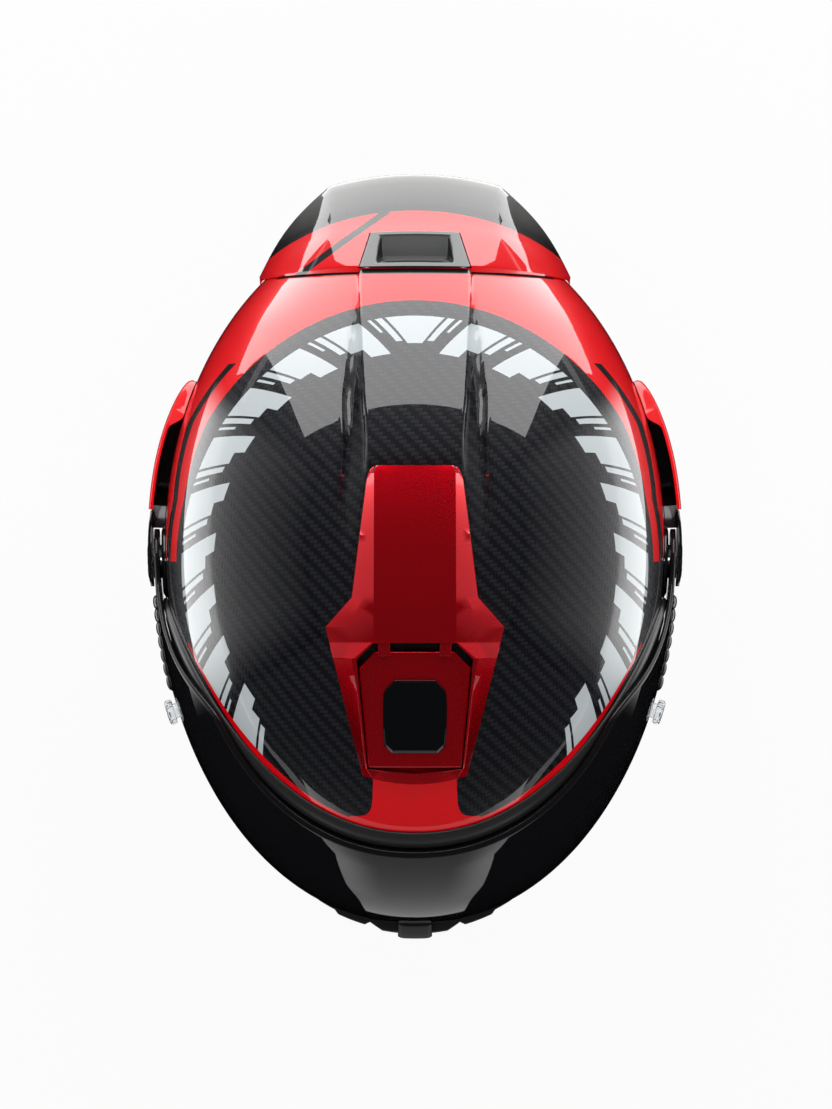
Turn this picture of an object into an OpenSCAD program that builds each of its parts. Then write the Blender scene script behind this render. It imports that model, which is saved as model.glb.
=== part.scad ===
// Full face racing helmet. Millimetres, +Z up, standing on its neck rim, face towards -Y.
// Every piece is laid on one shell surface: t is the angle round the helmet, 0 at the chin,
// 90 at the wearer's left ear, 180 at the back of the neck; z is the height over the ground.

/* [Shell] */
// Width of the composite shell over the ears
shell_w = 239; // [230:1:248]
// Height of the crown over the surface that the helmet stands on
shell_h = 262; // [256:1:270]
// Distance from the crown forward to the front of the chin bar
chin_reach = 184; // [178:1:190]
// Distance from the crown back to the back of the shell
back_reach = 157; // [154:1:162]
// Wall of the composite shell
shell_t = 3; // [2.5:0.1:3.5]
// Height of the widest line of the shell
waist_z = 148; // [144:1:152]
// How far the rim rises over the collarbones
rim_lift = 12; // [8:1:15]
// Height of the raised band along the back of the crown
band_h = 1.8; // [1:0.2:2.6]
// Half width of the raised band
band_w = 26; // [23:0.5:29]

/* [Eye port] */
// Height of the middle of the eye port
port_z = 157; // [154:1:159]
// Height of the eye port at its middle
port_h = 100; // [94:1:103]
// Angle from the front to the end of the eye port
port_end = 79; // [77:0.5:80]
// Width of the rubber beading over the brow
beading_w = 13; // [11:0.5:15]
// Width of the beading under the eyes
beading_low_w = 9; // [7:0.5:10]

/* [Visor] */
// Thickness of the visor
visor_t = 2.2; // [1.8:0.1:2.6]
// Gap from the shell to the inside of the visor
visor_gap = 3.2; // [3:0.1:3.6]
// Height of the visor over its pivot, at the middle
visor_up = 61.5; // [58:0.5:64]
// Depth of the visor under its pivot, at the middle
visor_down = 56; // [53:0.5:57]
// Distance of the pivot ahead of the crown
pivot_ahead = 10; // [7:0.5:12]
// Height of the pivot
pivot_z = 152; // [150:1:155]
// Radius of the pivot boss
pivot_r = 8; // [7:0.5:9]
// Radius of the visor's round ends
arm_r = 15.5; // [14:0.5:17]
// How far the lock tab stands out from the shell
tab_out = 12.7; // [11:0.1:14]
// Radius of the head of a tear-off post
post_r = 6; // [5:0.5:7]
// Height of a tear-off post over the visor
post_h = 5.5; // [4.5:0.5:7]

/* [Top vent] */
// Length of the vent housing along the crown
vent_l = 141; // [136:1:146]
// Half width of the housing at its shoulders
vent_w = 41; // [37:0.5:44]
// Height of the housing over the shell
vent_h = 9; // [7.5:0.5:10]
// Travel of the vent shutter
vent_travel = 3.6; // [3:0.1:4.2]

/* [Spoiler] */
// Distance from the crown back to the seam of the spoiler
spoiler_seam = 123.5; // [120:0.5:126]
// Distance from the crown back to the trailing edge
spoiler_reach = 170.7; // [166:0.1:175]
// Half width of the trailing edge
spoiler_w = 40; // [36:1:46]
// Thickness of the trailing edge
spoiler_t = 2.6; // [2:0.2:3.4]

/* [Linings] */
// Thickness of the foam over the crown
foam_t = 30; // [26:1:33]
// Thickness of the foam in the chin bar
chin_foam_t = 20; // [16:1:22]
// Thickness of the padded lining of the crown
lining_t = 9; // [7:0.5:11]
// Thickness of a cheek pad at its middle
cheek_t = 46; // [40:1:50]
// Width of the chin strap
strap_w = 24; // [20:1:26]
// Thickness of the strap webbing
strap_t = 1.6; // [1.2:0.1:2]
// Wire radius of the D-rings
ring_wire_r = 1.5; // [1.2:0.1:1.8]

/* [Hidden] */
$fn = 48;

// Gaps between pieces that seat on each other
seat = 0.3;                  // hard pieces on the shell
foam_gap = 0.8;              // foam in the faceted shell
soft_gap = 1.4;              // padding against foam
run_gap = 0.06;              // visor bore on the pivot boss
hole_gap = 0.08;             // rivets and screws in their holes
slide_gap = 0.4;             // shutters and buttons in their openings

front_end = chin_reach + tab_out; // foremost point, the face of the lock tab
crown_y = (front_end - spoiler_reach) / 2;
pivot_y = crown_y - pivot_ahead;
trim_under = 2.2;            // rubber under the edge of the shell
trim_lip = 1.3;              // thickness of the rubber channel's lips
trim_rise = 9;               // height of the lips over the edge of the shell
chin_z = 70;                 // height of the foremost line of the chin bar
nape_z = 140;                // height of the rearmost line of the shell

// Shell surface

function cap(q, p) = pow(max(0, 1 - pow(max(0, q), p)), 1 / p);
function smooth(v, from, to) =
    let (k = min(1, max(0, (v - from) / (to - from)))) k * k * (3 - 2 * k);
function mix(a, b, k) = a + (b - a) * k;

function half_width(z) = shell_w / 2 *
    (z > waist_z ? cap((z - waist_z) / (shell_h - waist_z), 2.3)
                 : 1 - 0.18 * pow((waist_z - z) / waist_z, 2.2));
function front_at(z) = chin_reach *
    (z > chin_z ? cap((z - chin_z) / (shell_h - chin_z), 2.5)
                : 1 - 0.1 * pow((chin_z - z) / chin_z, 2));
function back_at(z) = back_reach *
    (z > nape_z ? cap((z - nape_z) / (shell_h - nape_z), 2.2)
                : 1 - 0.33 * pow((nape_z - z) / nape_z, 1.8));
function front_power(z) = 2.05 + 0.08 * smooth(z, 60, 140);

// Point of the shell's outside at angle t and height z
function on_shell(t, z) =
    let (front = cos(t) > 0, p = 2 / (front ? front_power(z) : 2))
    [half_width(z) * sign(sin(t)) * pow(abs(sin(t)), p),
     crown_y + (front ? -front_at(z) : back_at(z)) * pow(abs(cos(t)), p), z];
function shell_normal(t, z) =
    let (h = min(z, shell_h - 0.4),
         n = cross(on_shell(t + 0.4, h) - on_shell(t - 0.4, h),
                   on_shell(t, h + 0.2) - on_shell(t, h - 0.2)))
    n / norm(n);
// Point at distance d outside the shell, or inside it where d is negative
function skin(t, z, d) = on_shell(t, z) + d * shell_normal(t, z);
function apex(d) = [0, crown_y, shell_h + d];
function at_height(p, z) = [p[0], p[1], z];

// Angle t at which the shell at height z reaches the distance y
function angle_at(y, z) = y < crown_y
    ? acos(pow((crown_y - y) / front_at(z), front_power(z) / 2))
    : 90 + asin((y - crown_y) / back_at(z));

// Height of the upper shell over the plan point x, y
function fullness(x, y, z) =
    let (front = y < crown_y, p = front ? front_power(z) : 2)
    pow(abs(x) / half_width(z), p) + pow(abs(y - crown_y) / (front ? front_at(z) : back_at(z)), p);
function dome_z(x, y, low = 100, high = shell_h, steps = 22) =
    let (mid = (low + high) / 2)
    steps == 0 ? mid
    : fullness(x, y, mid) < 1 ? dome_z(x, y, mid, high, steps - 1)
    : dome_z(x, y, low, mid, steps - 1);
function dome_normal(x, y) =
    let (n = [dome_z(x - 1, y) - dome_z(x + 1, y), dome_z(x, y - 1) - dome_z(x, y + 1), 2])
    n / norm(n);
function on_dome(x, y, d) = [x, y, dome_z(x, y)] + d * dome_normal(x, y);
// The same, but straight above x, y, for plates with upright edges
function over_dome(x, y, d) = [x, y, dome_z(x, y) + d / dome_normal(x, y)[2]];

// Solids between two sheets of points

function sheet(rows, cols, first, wrap, inside) =
    [for (r = [0 : rows - 2], c = [0 : cols - (wrap ? 1 : 2)])
        let (a = first + r * cols + c, b = first + r * cols + (c + 1) % cols)
        each inside ? [[a, b + cols, a + cols], [a, b, b + cols]]
                    : [[a, a + cols, b + cols], [a, b + cols, b]]];
// Walls along a line of point numbers, to the same line on a sheet that starts deep further on
function walls(line, deep) =
    [for (k = [0 : len(line) - 2])
        let (p = line[k], q = line[k + 1])
        each [[p, q, q + deep], [p, q + deep, p + deep]]];
function count_down(n) = [for (k = [0 : n - 1]) n - 1 - k];

// outer and inner are rows of points, equally long; wrap closes each row into a ring
module between(outer, inner, wrap = false) {
    rows = len(outer);
    cols = len(outer[0]);
    deep = rows * cols;
    across = [for (c = [0 : cols - 1]) c];
    ring = concat(across, [0]);
    edge = wrap ? [] : concat(across, [for (r = [1 : rows - 1]) r * cols + cols - 1],
                              [for (c = count_down(cols - 1)) (rows - 1) * cols + c],
                              [for (r = count_down(rows - 1)) r * cols]);
    top = [for (c = count_down(cols + 1)) (rows - 1) * cols + c % cols];
    polyhedron(
        points = concat([for (row = outer) each row], [for (row = inner) each row]),
        faces = concat(sheet(rows, cols, 0, wrap, false), sheet(rows, cols, deep, wrap, true),
                       wrap ? concat(walls(ring, deep), walls(top, deep)) : walls(edge, deep)),
        convexity = 8);
}

// A dome: rings of points that close on an apex, outside and inside
module dome_between(outer, inner, outer_apex, inner_apex) {
    rows = len(outer);
    cols = len(outer[0]);
    deep = rows * cols;
    ring = [for (c = [0 : cols]) c % cols];
    last = (rows - 1) * cols;
    polyhedron(
        points = concat([for (row = outer) each row], [for (row = inner) each row],
                        [outer_apex, inner_apex]),
        faces = concat(sheet(rows, cols, 0, true, false), sheet(rows, cols, deep, true, true),
                       walls(ring, deep),
                       [for (c = [0 : cols - 1]) [last + c, 2 * deep, last + (c + 1) % cols]],
                       [for (c = [0 : cols - 1])
                           [deep + last + c, deep + last + (c + 1) % cols, 2 * deep + 1]]),
        convexity = 8);
}

module mirrored() { mirror([1, 0, 0]) children(); }

// Shell and its edges

function rim_z(t) = trim_under + rim_lift * smooth(abs(sin(t)), 0.5, 0.97);
// Half height of the eye port grown by e, and its angle, at the outline angle s from -90 to 90
function port_half(s, e = 0) = (port_h / 2 + e) * sqrt(max(0, 1 - pow(abs(sin(s)), 4)));
function port_t(s, e = 0) = (port_end + e / 3.3) * sin(s);

port_cols = 26;
back_cols = 26;
cols = port_cols + back_cols;
low_rows = 9;
high_rows = 12;
function column_t(c) = c <= port_cols ? port_t(180 * c / port_cols - 90)
    : mix(port_end, 360 - port_end, (c - port_cols) / back_cols);
function column_half(c) = c < port_cols ? port_half(180 * c / port_cols - 90) : 0;

module shell_wall() {
    upper = (low_rows + 1) * cols;           // first point over the port
    deep = upper + high_rows * cols;         // first point of the inside
    tops = 2 * deep;
    function low(r, c) = r * cols + c % cols;
    function in_port(c) = c % cols > 0 && c % cols < port_cols;
    function high(r, c) = r == 0 && !in_port(c) ? low(low_rows, c) : upper + r * cols + c % cols;
    function low_point(r, c, d) =
        let (t = column_t(c)) skin(t, mix(rim_z(t), port_z - column_half(c), r / low_rows), d);
    function high_point(r, c, d) =
        let (from = port_z + column_half(c))
        skin(column_t(c), mix(from, shell_h, sin(90 * r / high_rows)), d);
    function face(p, q, u, v, d) = d == 0 ? [[p, u, v], [p, v, q]]
        : [[p + d, v + d, u + d], [p + d, q + d, v + d]];
    every = [for (c = [0 : cols - 1]) c];
    polyhedron(
        points = [for (d = [0, -shell_t]) each concat(
                      [for (r = [0 : low_rows], c = every) low_point(r, c, d)],
                      [for (r = [0 : high_rows - 1], c = every) high_point(r, c, d)]),
                  apex(0), apex(-shell_t)],
        faces = concat(
            [for (d = [0, deep], r = [0 : low_rows - 1], c = every)
                each face(low(r, c), low(r, c + 1), low(r + 1, c), low(r + 1, c + 1), d)],
            [for (d = [0, deep], r = [0 : high_rows - 2], c = every)
                each face(high(r, c), high(r, c + 1), high(r + 1, c), high(r + 1, c + 1), d)],
            [for (c = every) let (p = high(high_rows - 1, c), q = high(high_rows - 1, c + 1))
                each [[p, tops, q], [p + deep, q + deep, tops + 1]]],
            walls([for (c = [0 : cols]) low(0, c)], deep),
            walls([for (c = count_down(port_cols + 1)) low(low_rows, c)], deep),
            walls([for (c = [0 : port_cols]) high(0, c)], deep)),
        convexity = 10);
}

// Raised band from the top vent to the spoiler, flat on top with sloping sides
module crown_band() {
    sides = [-1, -0.86, 0, 0.86, 1];
    ys = [for (k = [0 : 6]) mix(vent_back + 0.6, crown_y + spoiler_seam - 0.8, k / 6)];
    function rows(top) = [for (v = sides) [for (k = count_down(7))
        over_dome(v * band_w, ys[k], !top ? -1 : abs(v) == 1 ? 0.1 : band_h)]];
    between(rows(true), rows(false));
}
module outer_shell() {
    color([0.05, 0.05, 0.06]) difference() {
        union() {
            shell_wall();
            crown_band();
        }
        both_sides() {
            rivet_shank(rivet_r + hole_gap);
            screw_shanks(screw_r + hole_gap, shell_t + 2);
        }
    }
}

// Rubber channel on the neck rim, flat where the helmet stands
module edge_trim() {
    out = seat + trim_lip;
    in = -shell_t - seat - trim_lip;
    ts = [for (c = [0 : cols - 1]) column_t(c)];
    function row(d, up) = [for (t = ts) skin(t, rim_z(t) + up, d)];
    function foot(d, down) = [for (t = ts)
        let (z = rim_z(t) - down) at_height(skin(t, z - d * shell_normal(t, z)[2], d), z)];
    color([0.06, 0.06, 0.06]) between(
        [row(in, trim_rise), foot(in, trim_under), foot(out, trim_under), row(out, trim_rise)],
        [row(in + trim_lip, trim_rise), foot(in + trim_lip, seat), foot(out - trim_lip, seat),
         row(out - trim_lip, trim_rise)],
        wrap = true);
}

// Rubber beading round the eye port, with a lip that folds over the edge of the shell
module port_beading() {
    turns = 26;
    height = visor_gap - 0.8;
    lip = 1.2;
    function at(k, wide, e, d) =
        let (upper = k < turns, s = upper ? 90 - 180 * k / turns : 180 * k / turns - 270,
             full = wide ? mix(upper ? beading_w : beading_low_w, 10, pow(abs(sin(s)), 3)) : 0)
        skin(port_t(s, full + e), port_z + (upper ? 1 : -1) * port_half(s, full + e), d);
    function row(wide, e, d) = [for (k = [0 : 2 * turns - 1]) at(k, wide, e, d)];
    color([0.09, 0.09, 0.1]) between(
        [row(true, 0, 0.9), row(true, -3, height), row(false, -seat - lip, height),
         row(false, -seat - lip, -shell_t)],
        [row(true, 0, seat), row(true, -3, seat), row(false, -seat, seat),
         row(false, -seat, -shell_t)],
        wrap = true);
}

// Linings

// Angle folded to the wearer's left half, from 0 at the chin to 180 at the nape
function folded(t) = let (a = (t + 360) % 360) min(a, 360 - a);
// Lower edge of the foam cap: over the eye port, then down behind the ears to the nape
function foam_edge(t) =
    let (a = folded(t), e = 4,
         over = port_z + (port_h / 2 + e) * sqrt(max(0, 1 - pow(min(1, a / (port_end + 4)), 4))))
    a < port_end + 4 ? mix(over, over - 30, smooth(a, 70, port_end + 4))
                     : mix(126, 48, smooth(a, 106, 134));

module foam_cap(outer_d, inner_d, edge_lift) {
    rows = 9;
    ts = [for (c = [0 : 35]) 10 * c];
    function ring(r, d) =
        [for (t = ts) skin(t, mix(foam_edge(t) + edge_lift, shell_h, sin(90 * r / rows)), d)];
    dome_between([for (r = [0 : rows - 1]) ring(r, -outer_d)],
                 [for (r = [0 : rows - 1]) ring(r, -inner_d)], apex(-outer_d), apex(-inner_d));
}
foam_out = shell_t + foam_gap;
foam_in = foam_out + foam_t;
module impact_foam() { color([0.16, 0.16, 0.17]) foam_cap(foam_out, foam_in, 0); }
module crown_lining() {
    color([0.12, 0.12, 0.13])
        foam_cap(foam_in + soft_gap, foam_in + soft_gap + lining_t, 12);
}

// A pad on the inside of the shell from angle t0 to t1 and height z0 to z1: thick over its
// middle, thin and rounded at its edges
module pad(t0, t1, z0, z1, outer_d, thick, edge, wide, high) {
    function bulge(u, v) = pow(max(0, 1 - pow(abs(u), 3)), 0.5) * pow(max(0, 1 - pow(abs(v), 3)), 0.5);
    function at(r, c, full) =
        let (u = 2 * c / wide - 1, v = 2 * r / high - 1,
             depth = outer_d + (full ? edge + (thick - edge) * bulge(u, v) : 0))
        skin(mix(t0, t1, c / wide), mix(z0, z1, r / high), -depth);
    between([for (r = [0 : high]) [for (c = [0 : wide]) at(r, c, false)]],
            [for (r = [0 : high]) [for (c = [0 : wide]) at(r, c, true)]]);
}
webbing_d = shell_t + seat + trim_lip + 0.4;  // depth at which cloth clears the lip of the edge trim
strap_d = webbing_d + 1.8;                    // webbing, deeper as the shell curves in ahead of it
pad_out = strap_d + strap_t + 2.6;            // pads leave room for the webbing and its rivet
chin_foam_end = 56;                           // angle at which the chin foam meets the cheek pads
chin_foam_low = 24;
chin_foam_high = 98;
module chin_foam() {
    color([0.16, 0.16, 0.17]) pad(-chin_foam_end, chin_foam_end, chin_foam_low, chin_foam_high,
                                  foam_out, chin_foam_t, chin_foam_t * 0.75, 14, 5);
}
cheek_low = 29;
cheek_high = 118;
cheek_edge = 14;
module cheek_pad() {
    color([0.13, 0.13, 0.14]) pad(chin_foam_end + 0.25, 103, cheek_low, cheek_high,
                                  pad_out, cheek_t, cheek_edge, 10, 10);
}
roll_low = 14;
roll_high = 43;
roll_t = 22;
roll_edge = 6;
module neck_roll() {
    color([0.12, 0.12, 0.13]) pad(112, 248, roll_low, roll_high, webbing_d, roll_t, roll_edge, 20, 6);
}

curtain_z = 14;
curtain_reach = 38;
curtain_sag = 5;
curtain_t = 1.6;
module chin_curtain() {
    wide = 16;
    function at(c, k, up) =
        let (t = mix(-46, 46, c / wide),
             p = skin(t, curtain_z, -webbing_d - 0.6 - curtain_reach * k * cos(1.6 * t)))
        at_height(p, curtain_z - curtain_sag * sin(180 * k) + up);
    function rows(up) = [for (k = [0 : 0.25 : 1]) [for (c = [0 : wide]) at(c, k, up)]];
    color([0.1, 0.1, 0.11]) between(rows(curtain_t), rows(0));
}

guard_foot = 89;                // behind the top of the chin foam
guard_end = 103;                // height of its ends
guard_rise = 30;                // how far its middle stands over them
guard_lean = 5;
guard_t = 1.8;
module breath_guard() {
    wide = 12;
    function at(c, r, d) =
        let (t = mix(-24, 24, c / wide), k = r / 4, top = guard_rise * sqrt(cos(3 * t) + 0.05))
        skin(t, mix(guard_foot, guard_end + top, k), -foam_out - chin_foam_t + 0.9 - guard_lean * k - d);
    color([0.08, 0.08, 0.08]) between([for (r = [0 : 4]) [for (c = [0 : wide]) at(c, r, 0)]],
                                      [for (r = [0 : 4]) [for (c = [0 : wide]) at(c, r, guard_t)]]);
}

// Visor and its pivots

visor_out = visor_gap + visor_t;
module at_pivot() { translate([0, pivot_y, pivot_z]) rotate([0, 90, 0]) children(); }
module both_sides() {
    children();
    mirrored() children();
}

function visor_top(t) = arm_r + (visor_up - arm_r) * (1 - smooth(abs(t), 55, 88));
function visor_low(t) = arm_r + (visor_down - arm_r) * (1 - smooth(abs(t), 55, 88));
// Columns of one half of the visor as [angle, height over the pivot, depth under it]
arm_t = angle_at(pivot_y, pivot_z);
half_columns = concat(
    [for (k = [0 : 16]) let (t = arm_t * k / 16) [t, visor_top(t), visor_low(t)]],
    [for (a = [25, 48, 66, 80]) [angle_at(pivot_y + arm_r * sin(a), pivot_z), arm_r * cos(a), arm_r * cos(a)]]);
visor_columns = concat([for (k = count_down(len(half_columns) - 1))
                           let (h = half_columns[k + 1]) [-h[0], h[1], h[2]]], half_columns);

module visor() {
    rows = 9;
    function sheet_at(d) = [for (r = [0 : rows])
        [for (h = visor_columns) skin(h[0], mix(pivot_z - h[2], pivot_z + h[1], r / rows), d)]];
    color([0.07, 0.07, 0.09, 0.9]) difference() {
        between(sheet_at(visor_out), sheet_at(visor_gap));
        at_pivot() cylinder(r = pivot_r + run_gap, h = shell_w / 2 + 30);
        mirrored() at_pivot() cylinder(r = pivot_r + run_gap, h = shell_w / 2 + 30);
    }
}

// Lays its children on the shell at angle t and height z, with +Z pointing out
module stand_on(t, z, d = 0) {
    n = shell_normal(t, z);
    translate(skin(t, z, d)) rotate([0, acos(n[2]), atan2(n[1], n[0])]) children();
}

post_t = 64.5;                    // angle and height of the tear-off posts
post_z = 148;
post_neck_h = 1.8;
module tear_off_post() {
    head_h = post_h - post_neck_h;
    stand_on(post_t, post_z, visor_out + 0.1) {
        cylinder(r = post_r * 0.6, h = post_neck_h);
        translate([0, 0, post_neck_h]) difference() {
            cylinder(r = post_r, h = head_h);
            translate([0, 0, head_h - 1]) cylinder(r = post_r * 0.45, h = 2);
        }
    }
}
module tear_off_posts() { color([0.9, 0.92, 0.94, 0.5]) both_sides() tear_off_post(); }

// Block at the lower edge of the visor that the lock holds
tab_half = 7.4;
tab_h = 14;
tab_z = pivot_z - visor_down - 2.8;   // its foot, a little lower than the visor
module visor_tab() {
    function angle(x) = asin(pow(x / half_width(tab_z), front_power(tab_z) / 2));
    ts = [-angle(tab_half), -angle(tab_half - 1), 0, angle(tab_half - 1), angle(tab_half)];
    function row(k, out) = [for (t = ts) skin(t, tab_z + tab_h * k, out - (abs(t) == ts[4] ? 1 : 0))];
    color([0.05, 0.05, 0.05]) between(
        [row(0, tab_out - 1), row(0.1, tab_out + 0.2), row(0.5, tab_out + 0.2), row(0.72, tab_out - 2.5),
         row(1, visor_out + 1.4)],
        [for (k = [0, 0.1, 0.5, 0.72, 1]) [for (t = ts) skin(t, tab_z + tab_h * k, visor_out + 0.12)]]);
}

// Ribbed trim along each arm of the visor
module arm_trim() {
    ribs = 7;
    front = pivot_y - 60;
    back = pivot_y - 16;
    half = 11;
    function column(k) =
        let (y = mix(front, back, k / (2 * ribs)), low = k % 2 == 1)
        [angle_at(y, pivot_z), half * mix(0.55, 1, smooth(k, 0, 2 * ribs)), low ? 0.7 : 1.7];
    function rows(out) = [for (v = [-1, -0.6, 0.6, 1]) [for (k = [0 : 2 * ribs])
        let (c = column(k))
        skin(c[0], pivot_z - 4 + v * c[1], visor_out + 0.1 + (out ? (abs(v) == 1 ? 0.4 : c[2]) : 0))]];
    color([0.03, 0.03, 0.03]) between(rows(true), rows(false));
}

base_t = 1.3;                   // thickness of the pivot base on the shell
base_r = 16;
base_out = seat + base_t;
boss_h = visor_out + 0.1;       // end of the boss over the side of the shell
screw_r = 1.5;
screw_up = 12;                  // distance of the screws from the pivot
module screw_shanks(r, deep) {
    for (z = [-screw_up, screw_up]) on_pivot_line(z, -deep) cylinder(r = r, h = deep + base_out + 0.3);
}
module on_pivot_line(up, d) {
    stand_on(angle_at(pivot_y, pivot_z + up), pivot_z + up, d) children();
}
module pivot_base() {
    rows = 6;
    function column(y) = [angle_at(pivot_y + y, pivot_z), sqrt(base_r * base_r - y * y)];
    columns = [for (a = [-75 : 25 : 75]) column(base_r * sin(a))];
    function sheet_at(d) = [for (r = [0 : rows])
        [for (c = columns) skin(c[0], pivot_z + c[1] * (2 * r / rows - 1), d)]];
    foot = shell_w / 2 + seat + 0.5;
    color([0.08, 0.08, 0.09]) difference() {
        union() {
            between(sheet_at(base_out), sheet_at(seat));
            at_pivot() translate([0, 0, foot]) cylinder(r = pivot_r, h = shell_w / 2 + boss_h - foot);
        }
        at_pivot() translate([0, 0, foot + 0.5]) cylinder(r = stem_r + hole_gap, h = 20);
        screw_shanks(screw_r + hole_gap, 0);
    }
}

// Cover over the pivot: round in front, drawn out to a point behind, with a ridge along it
stem_r = 4;
cover_low = visor_out + 0.7;    // from the shell to the inside of the cover
cover_t = 1.8;
cover_front = 11.5;
cover_back = 24;
module pivot_cover() {
    wide = 10;
    rows = 6;
    function column(k) =
        let (u = 2 * k / wide - 1, y = u < 0 ? cover_front * u : cover_back * u)
        [angle_at(pivot_y + y, pivot_z), 15 * pow(1.02 - pow(abs(u), 2.2), 0.6), u];
    function sheet_at(out) = [for (r = [0 : rows]) [for (k = [0 : wide])
        let (c = column(k), v = 2 * r / rows - 1, fall = 0.9 * pow(abs(v), 3) + 0.9 * pow(abs(c[2]), 3))
        skin(c[0], pivot_z + c[1] * v, cover_low + (out ? cover_t + (v == 0 ? 0.7 : 0) - fall : 0))]];
    color([0.03, 0.03, 0.03]) union() {
        between(sheet_at(true), sheet_at(false));
        at_pivot() translate([0, 0, shell_w / 2 + base_out + 0.3])
            cylinder(r = stem_r, h = cover_low - base_out);
    }
}

// Screws through the pivot bases into the shell
module pivot_screws() {
    color([0.5, 0.5, 0.52]) both_sides() {
        screw_shanks(screw_r, shell_t + 0.4);
        for (z = [-screw_up, screw_up]) on_pivot_line(z, base_out) cylinder(r = 2.4, h = 0.9);
    }
}

// Chin

// Angle at which the front of the shell is x from the middle, at the height z
function front_angle(x, z) = asin(pow(x / half_width(z), front_power(z) / 2));
// Lip on the chin bar under the edge of the visor: [half width, how far it stands out]
lip_top = tab_z - 0.9;
lip_steps = [[14.5, 10.8], [20.5, 7.8], [22.5, 9.6], [34.5, 9.2], [36.5, 7.8], [44, 7.4], [48, 2.5]];
lock_z = lip_top - 6.5;
lock_r = 4;
lock_travel = 2.2;
module chin_lip() {
    half = [for (s = lip_steps) [front_angle(s[0], lip_top), s[1]]];
    n = len(half);
    steps = concat([for (k = count_down(n)) [-half[k][0], half[k][1]]], [[0, 11.2]], half);
    function foot(t) = mix(lip_top - 13, lip_top - 7.5, smooth(abs(t), 7, 10));
    function row(k, out) = [for (s = steps)
        skin(s[0], mix(foot(s[0]), lip_top, k), out < 0 ? seat : s[1] * out)];
    color([0.06, 0.06, 0.06]) difference() {
        between([row(0, 0.75), row(0.35, 1), row(0.8, 1), row(1, 0.85)],
                [for (k = [0, 0.35, 0.8, 1]) row(k, -1)]);
        lock_hole(lock_r + slide_gap, seat + 1.5);
    }
}
module lock_hole(r, deep) {
    translate([0, crown_y - front_at(lock_z) - deep, lock_z]) rotate([90, 0, 0])
        cylinder(r = r, h = 20);
}
// Push button that frees the visor
module lock_button() {
    face = 12.4;
    back = seat + 1.5 + lock_travel + 0.3;
    color([0.6, 0.03, 0.03]) translate([0, crown_y - front_at(lock_z), lock_z]) rotate([90, 0, 0]) {
        translate([0, 0, back]) cylinder(r = lock_r, h = face - back - 0.8);
        translate([0, 0, face - 0.8]) cylinder(r1 = lock_r, r2 = lock_r - 0.8, h = 0.8);
    }
}

// Mouth vent: a bar with a window on each side of a post that carries its slider
vent_z = 61;
vent_half = 13;
window_x = 17.5;                // middle, width and height of each window
window_w = 15;
window_h = 13;
slider_w = 7;
slider_travel = 5;
slider_deep = 3.4;
module chin_vent_housing() {
    outs = [[0, 8.2], [7.5, 8.2], [9, 7.4], [24, 6.6], [29, 6], [33, 5.4], [42, 4.2], [47, 1.6]];
    half = [for (s = outs) [front_angle(s[0], vent_z), s[1], s[0]]];
    n = len(half);
    steps = concat([for (k = count_down(n - 1)) [-half[k + 1][0], half[k + 1][1], half[k + 1][2]]], half);
    function high(x) = vent_half * (1 - 0.5 * smooth(x, 24, 47));
    function row(v, out) = [for (s = steps)
        skin(s[0], vent_z + high(s[2]) * v, out ? (abs(v) == 1 ? 1.4 : s[1]) : 0.4)];
    color([0.05, 0.05, 0.05]) difference() {
        between([for (v = [-1, -0.72, 0, 0.72, 1]) row(v, true)],
                [for (v = [-1, -0.72, 0, 0.72, 1]) row(v, false)]);
        for (x = [-window_x, window_x]) chin_window(x, window_w, window_h);
        for (x = [-35, 35]) chin_window(x, 9, 6);
        chin_slot();
    }
}
module chin_window(x, wide, high) {
    translate([x - wide / 2, crown_y - chin_reach - 30, vent_z - high / 2]) cube([wide, 60, high]);
}
module chin_slot() {
    y = crown_y - chin_reach - 8.4;
    high = vent_half * 0.9;
    translate([-slider_w / 2 - slide_gap, y - 10, vent_z - high / 2 - slide_gap])
        cube([slider_w + 2 * slide_gap, 10 + slider_deep, high + 2 * slide_gap]);
}
module chin_vent_mesh() {
    x0 = front_angle(window_x - window_w / 2 + seat, vent_z);
    x1 = front_angle(window_x + window_w / 2 - 2 * seat, vent_z);
    function rows(d) = [for (v = [-1, 0, 1])
        [for (k = [0 : 3]) skin(mix(x0, x1, k / 3), vent_z + v * (window_h / 2 - seat), d)]];
    color([0.14, 0.14, 0.15]) both_sides() between(rows(seat + 0.9), rows(seat));
}
// Slider of the mouth vent, with a finger ridge across it
module chin_vent_slider() {
    y = crown_y - chin_reach - 8.4 + slider_deep - slide_gap;
    high = vent_half * 0.9 - slider_travel;
    low = vent_z - vent_half * 0.45;
    color([0.09, 0.09, 0.1]) translate([-slider_w / 2, y, low]) {
        translate([0, -3.2, 0]) cube([slider_w, 3.2, high]);
        translate([0.6, -4.6, high / 2 - 0.9]) cube([slider_w - 1.2, 1.6, 1.8]);
    }
}

// Top vent

vent_back = crown_y + 33.4;
function vent_y(k) = vent_back - vent_l * k;
// Shares of the housing's length, half width and height, from its back to its front
vent_stations = [[0, 0.53, 0.45], [0.02, 0.55, 0.62], [0.14, 0.575, 0.74], [0.28, 0.62, 0.86],
                 [0.42, 0.69, 1], [0.47, 0.82, 1], [0.517, 1, 1], [0.577, 0.975, 1],
                 [0.67, 0.92, 0.97], [0.77, 0.85, 0.92], [0.84, 0.775, 0.84], [0.9, 0.7, 0.76],
                 [0.985, 0.6, 0.55], [1, 0.57, 0.4]];
shutter_back = 0.595;           // shares of the length at the shutter's ends
shutter_front = 0.97;
shutter_corner = 7.5;
function shutter_half(k) =
    vent_w * mix(0.63, 0.52, (k - shutter_back) / (shutter_front - shutter_back));

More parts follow.
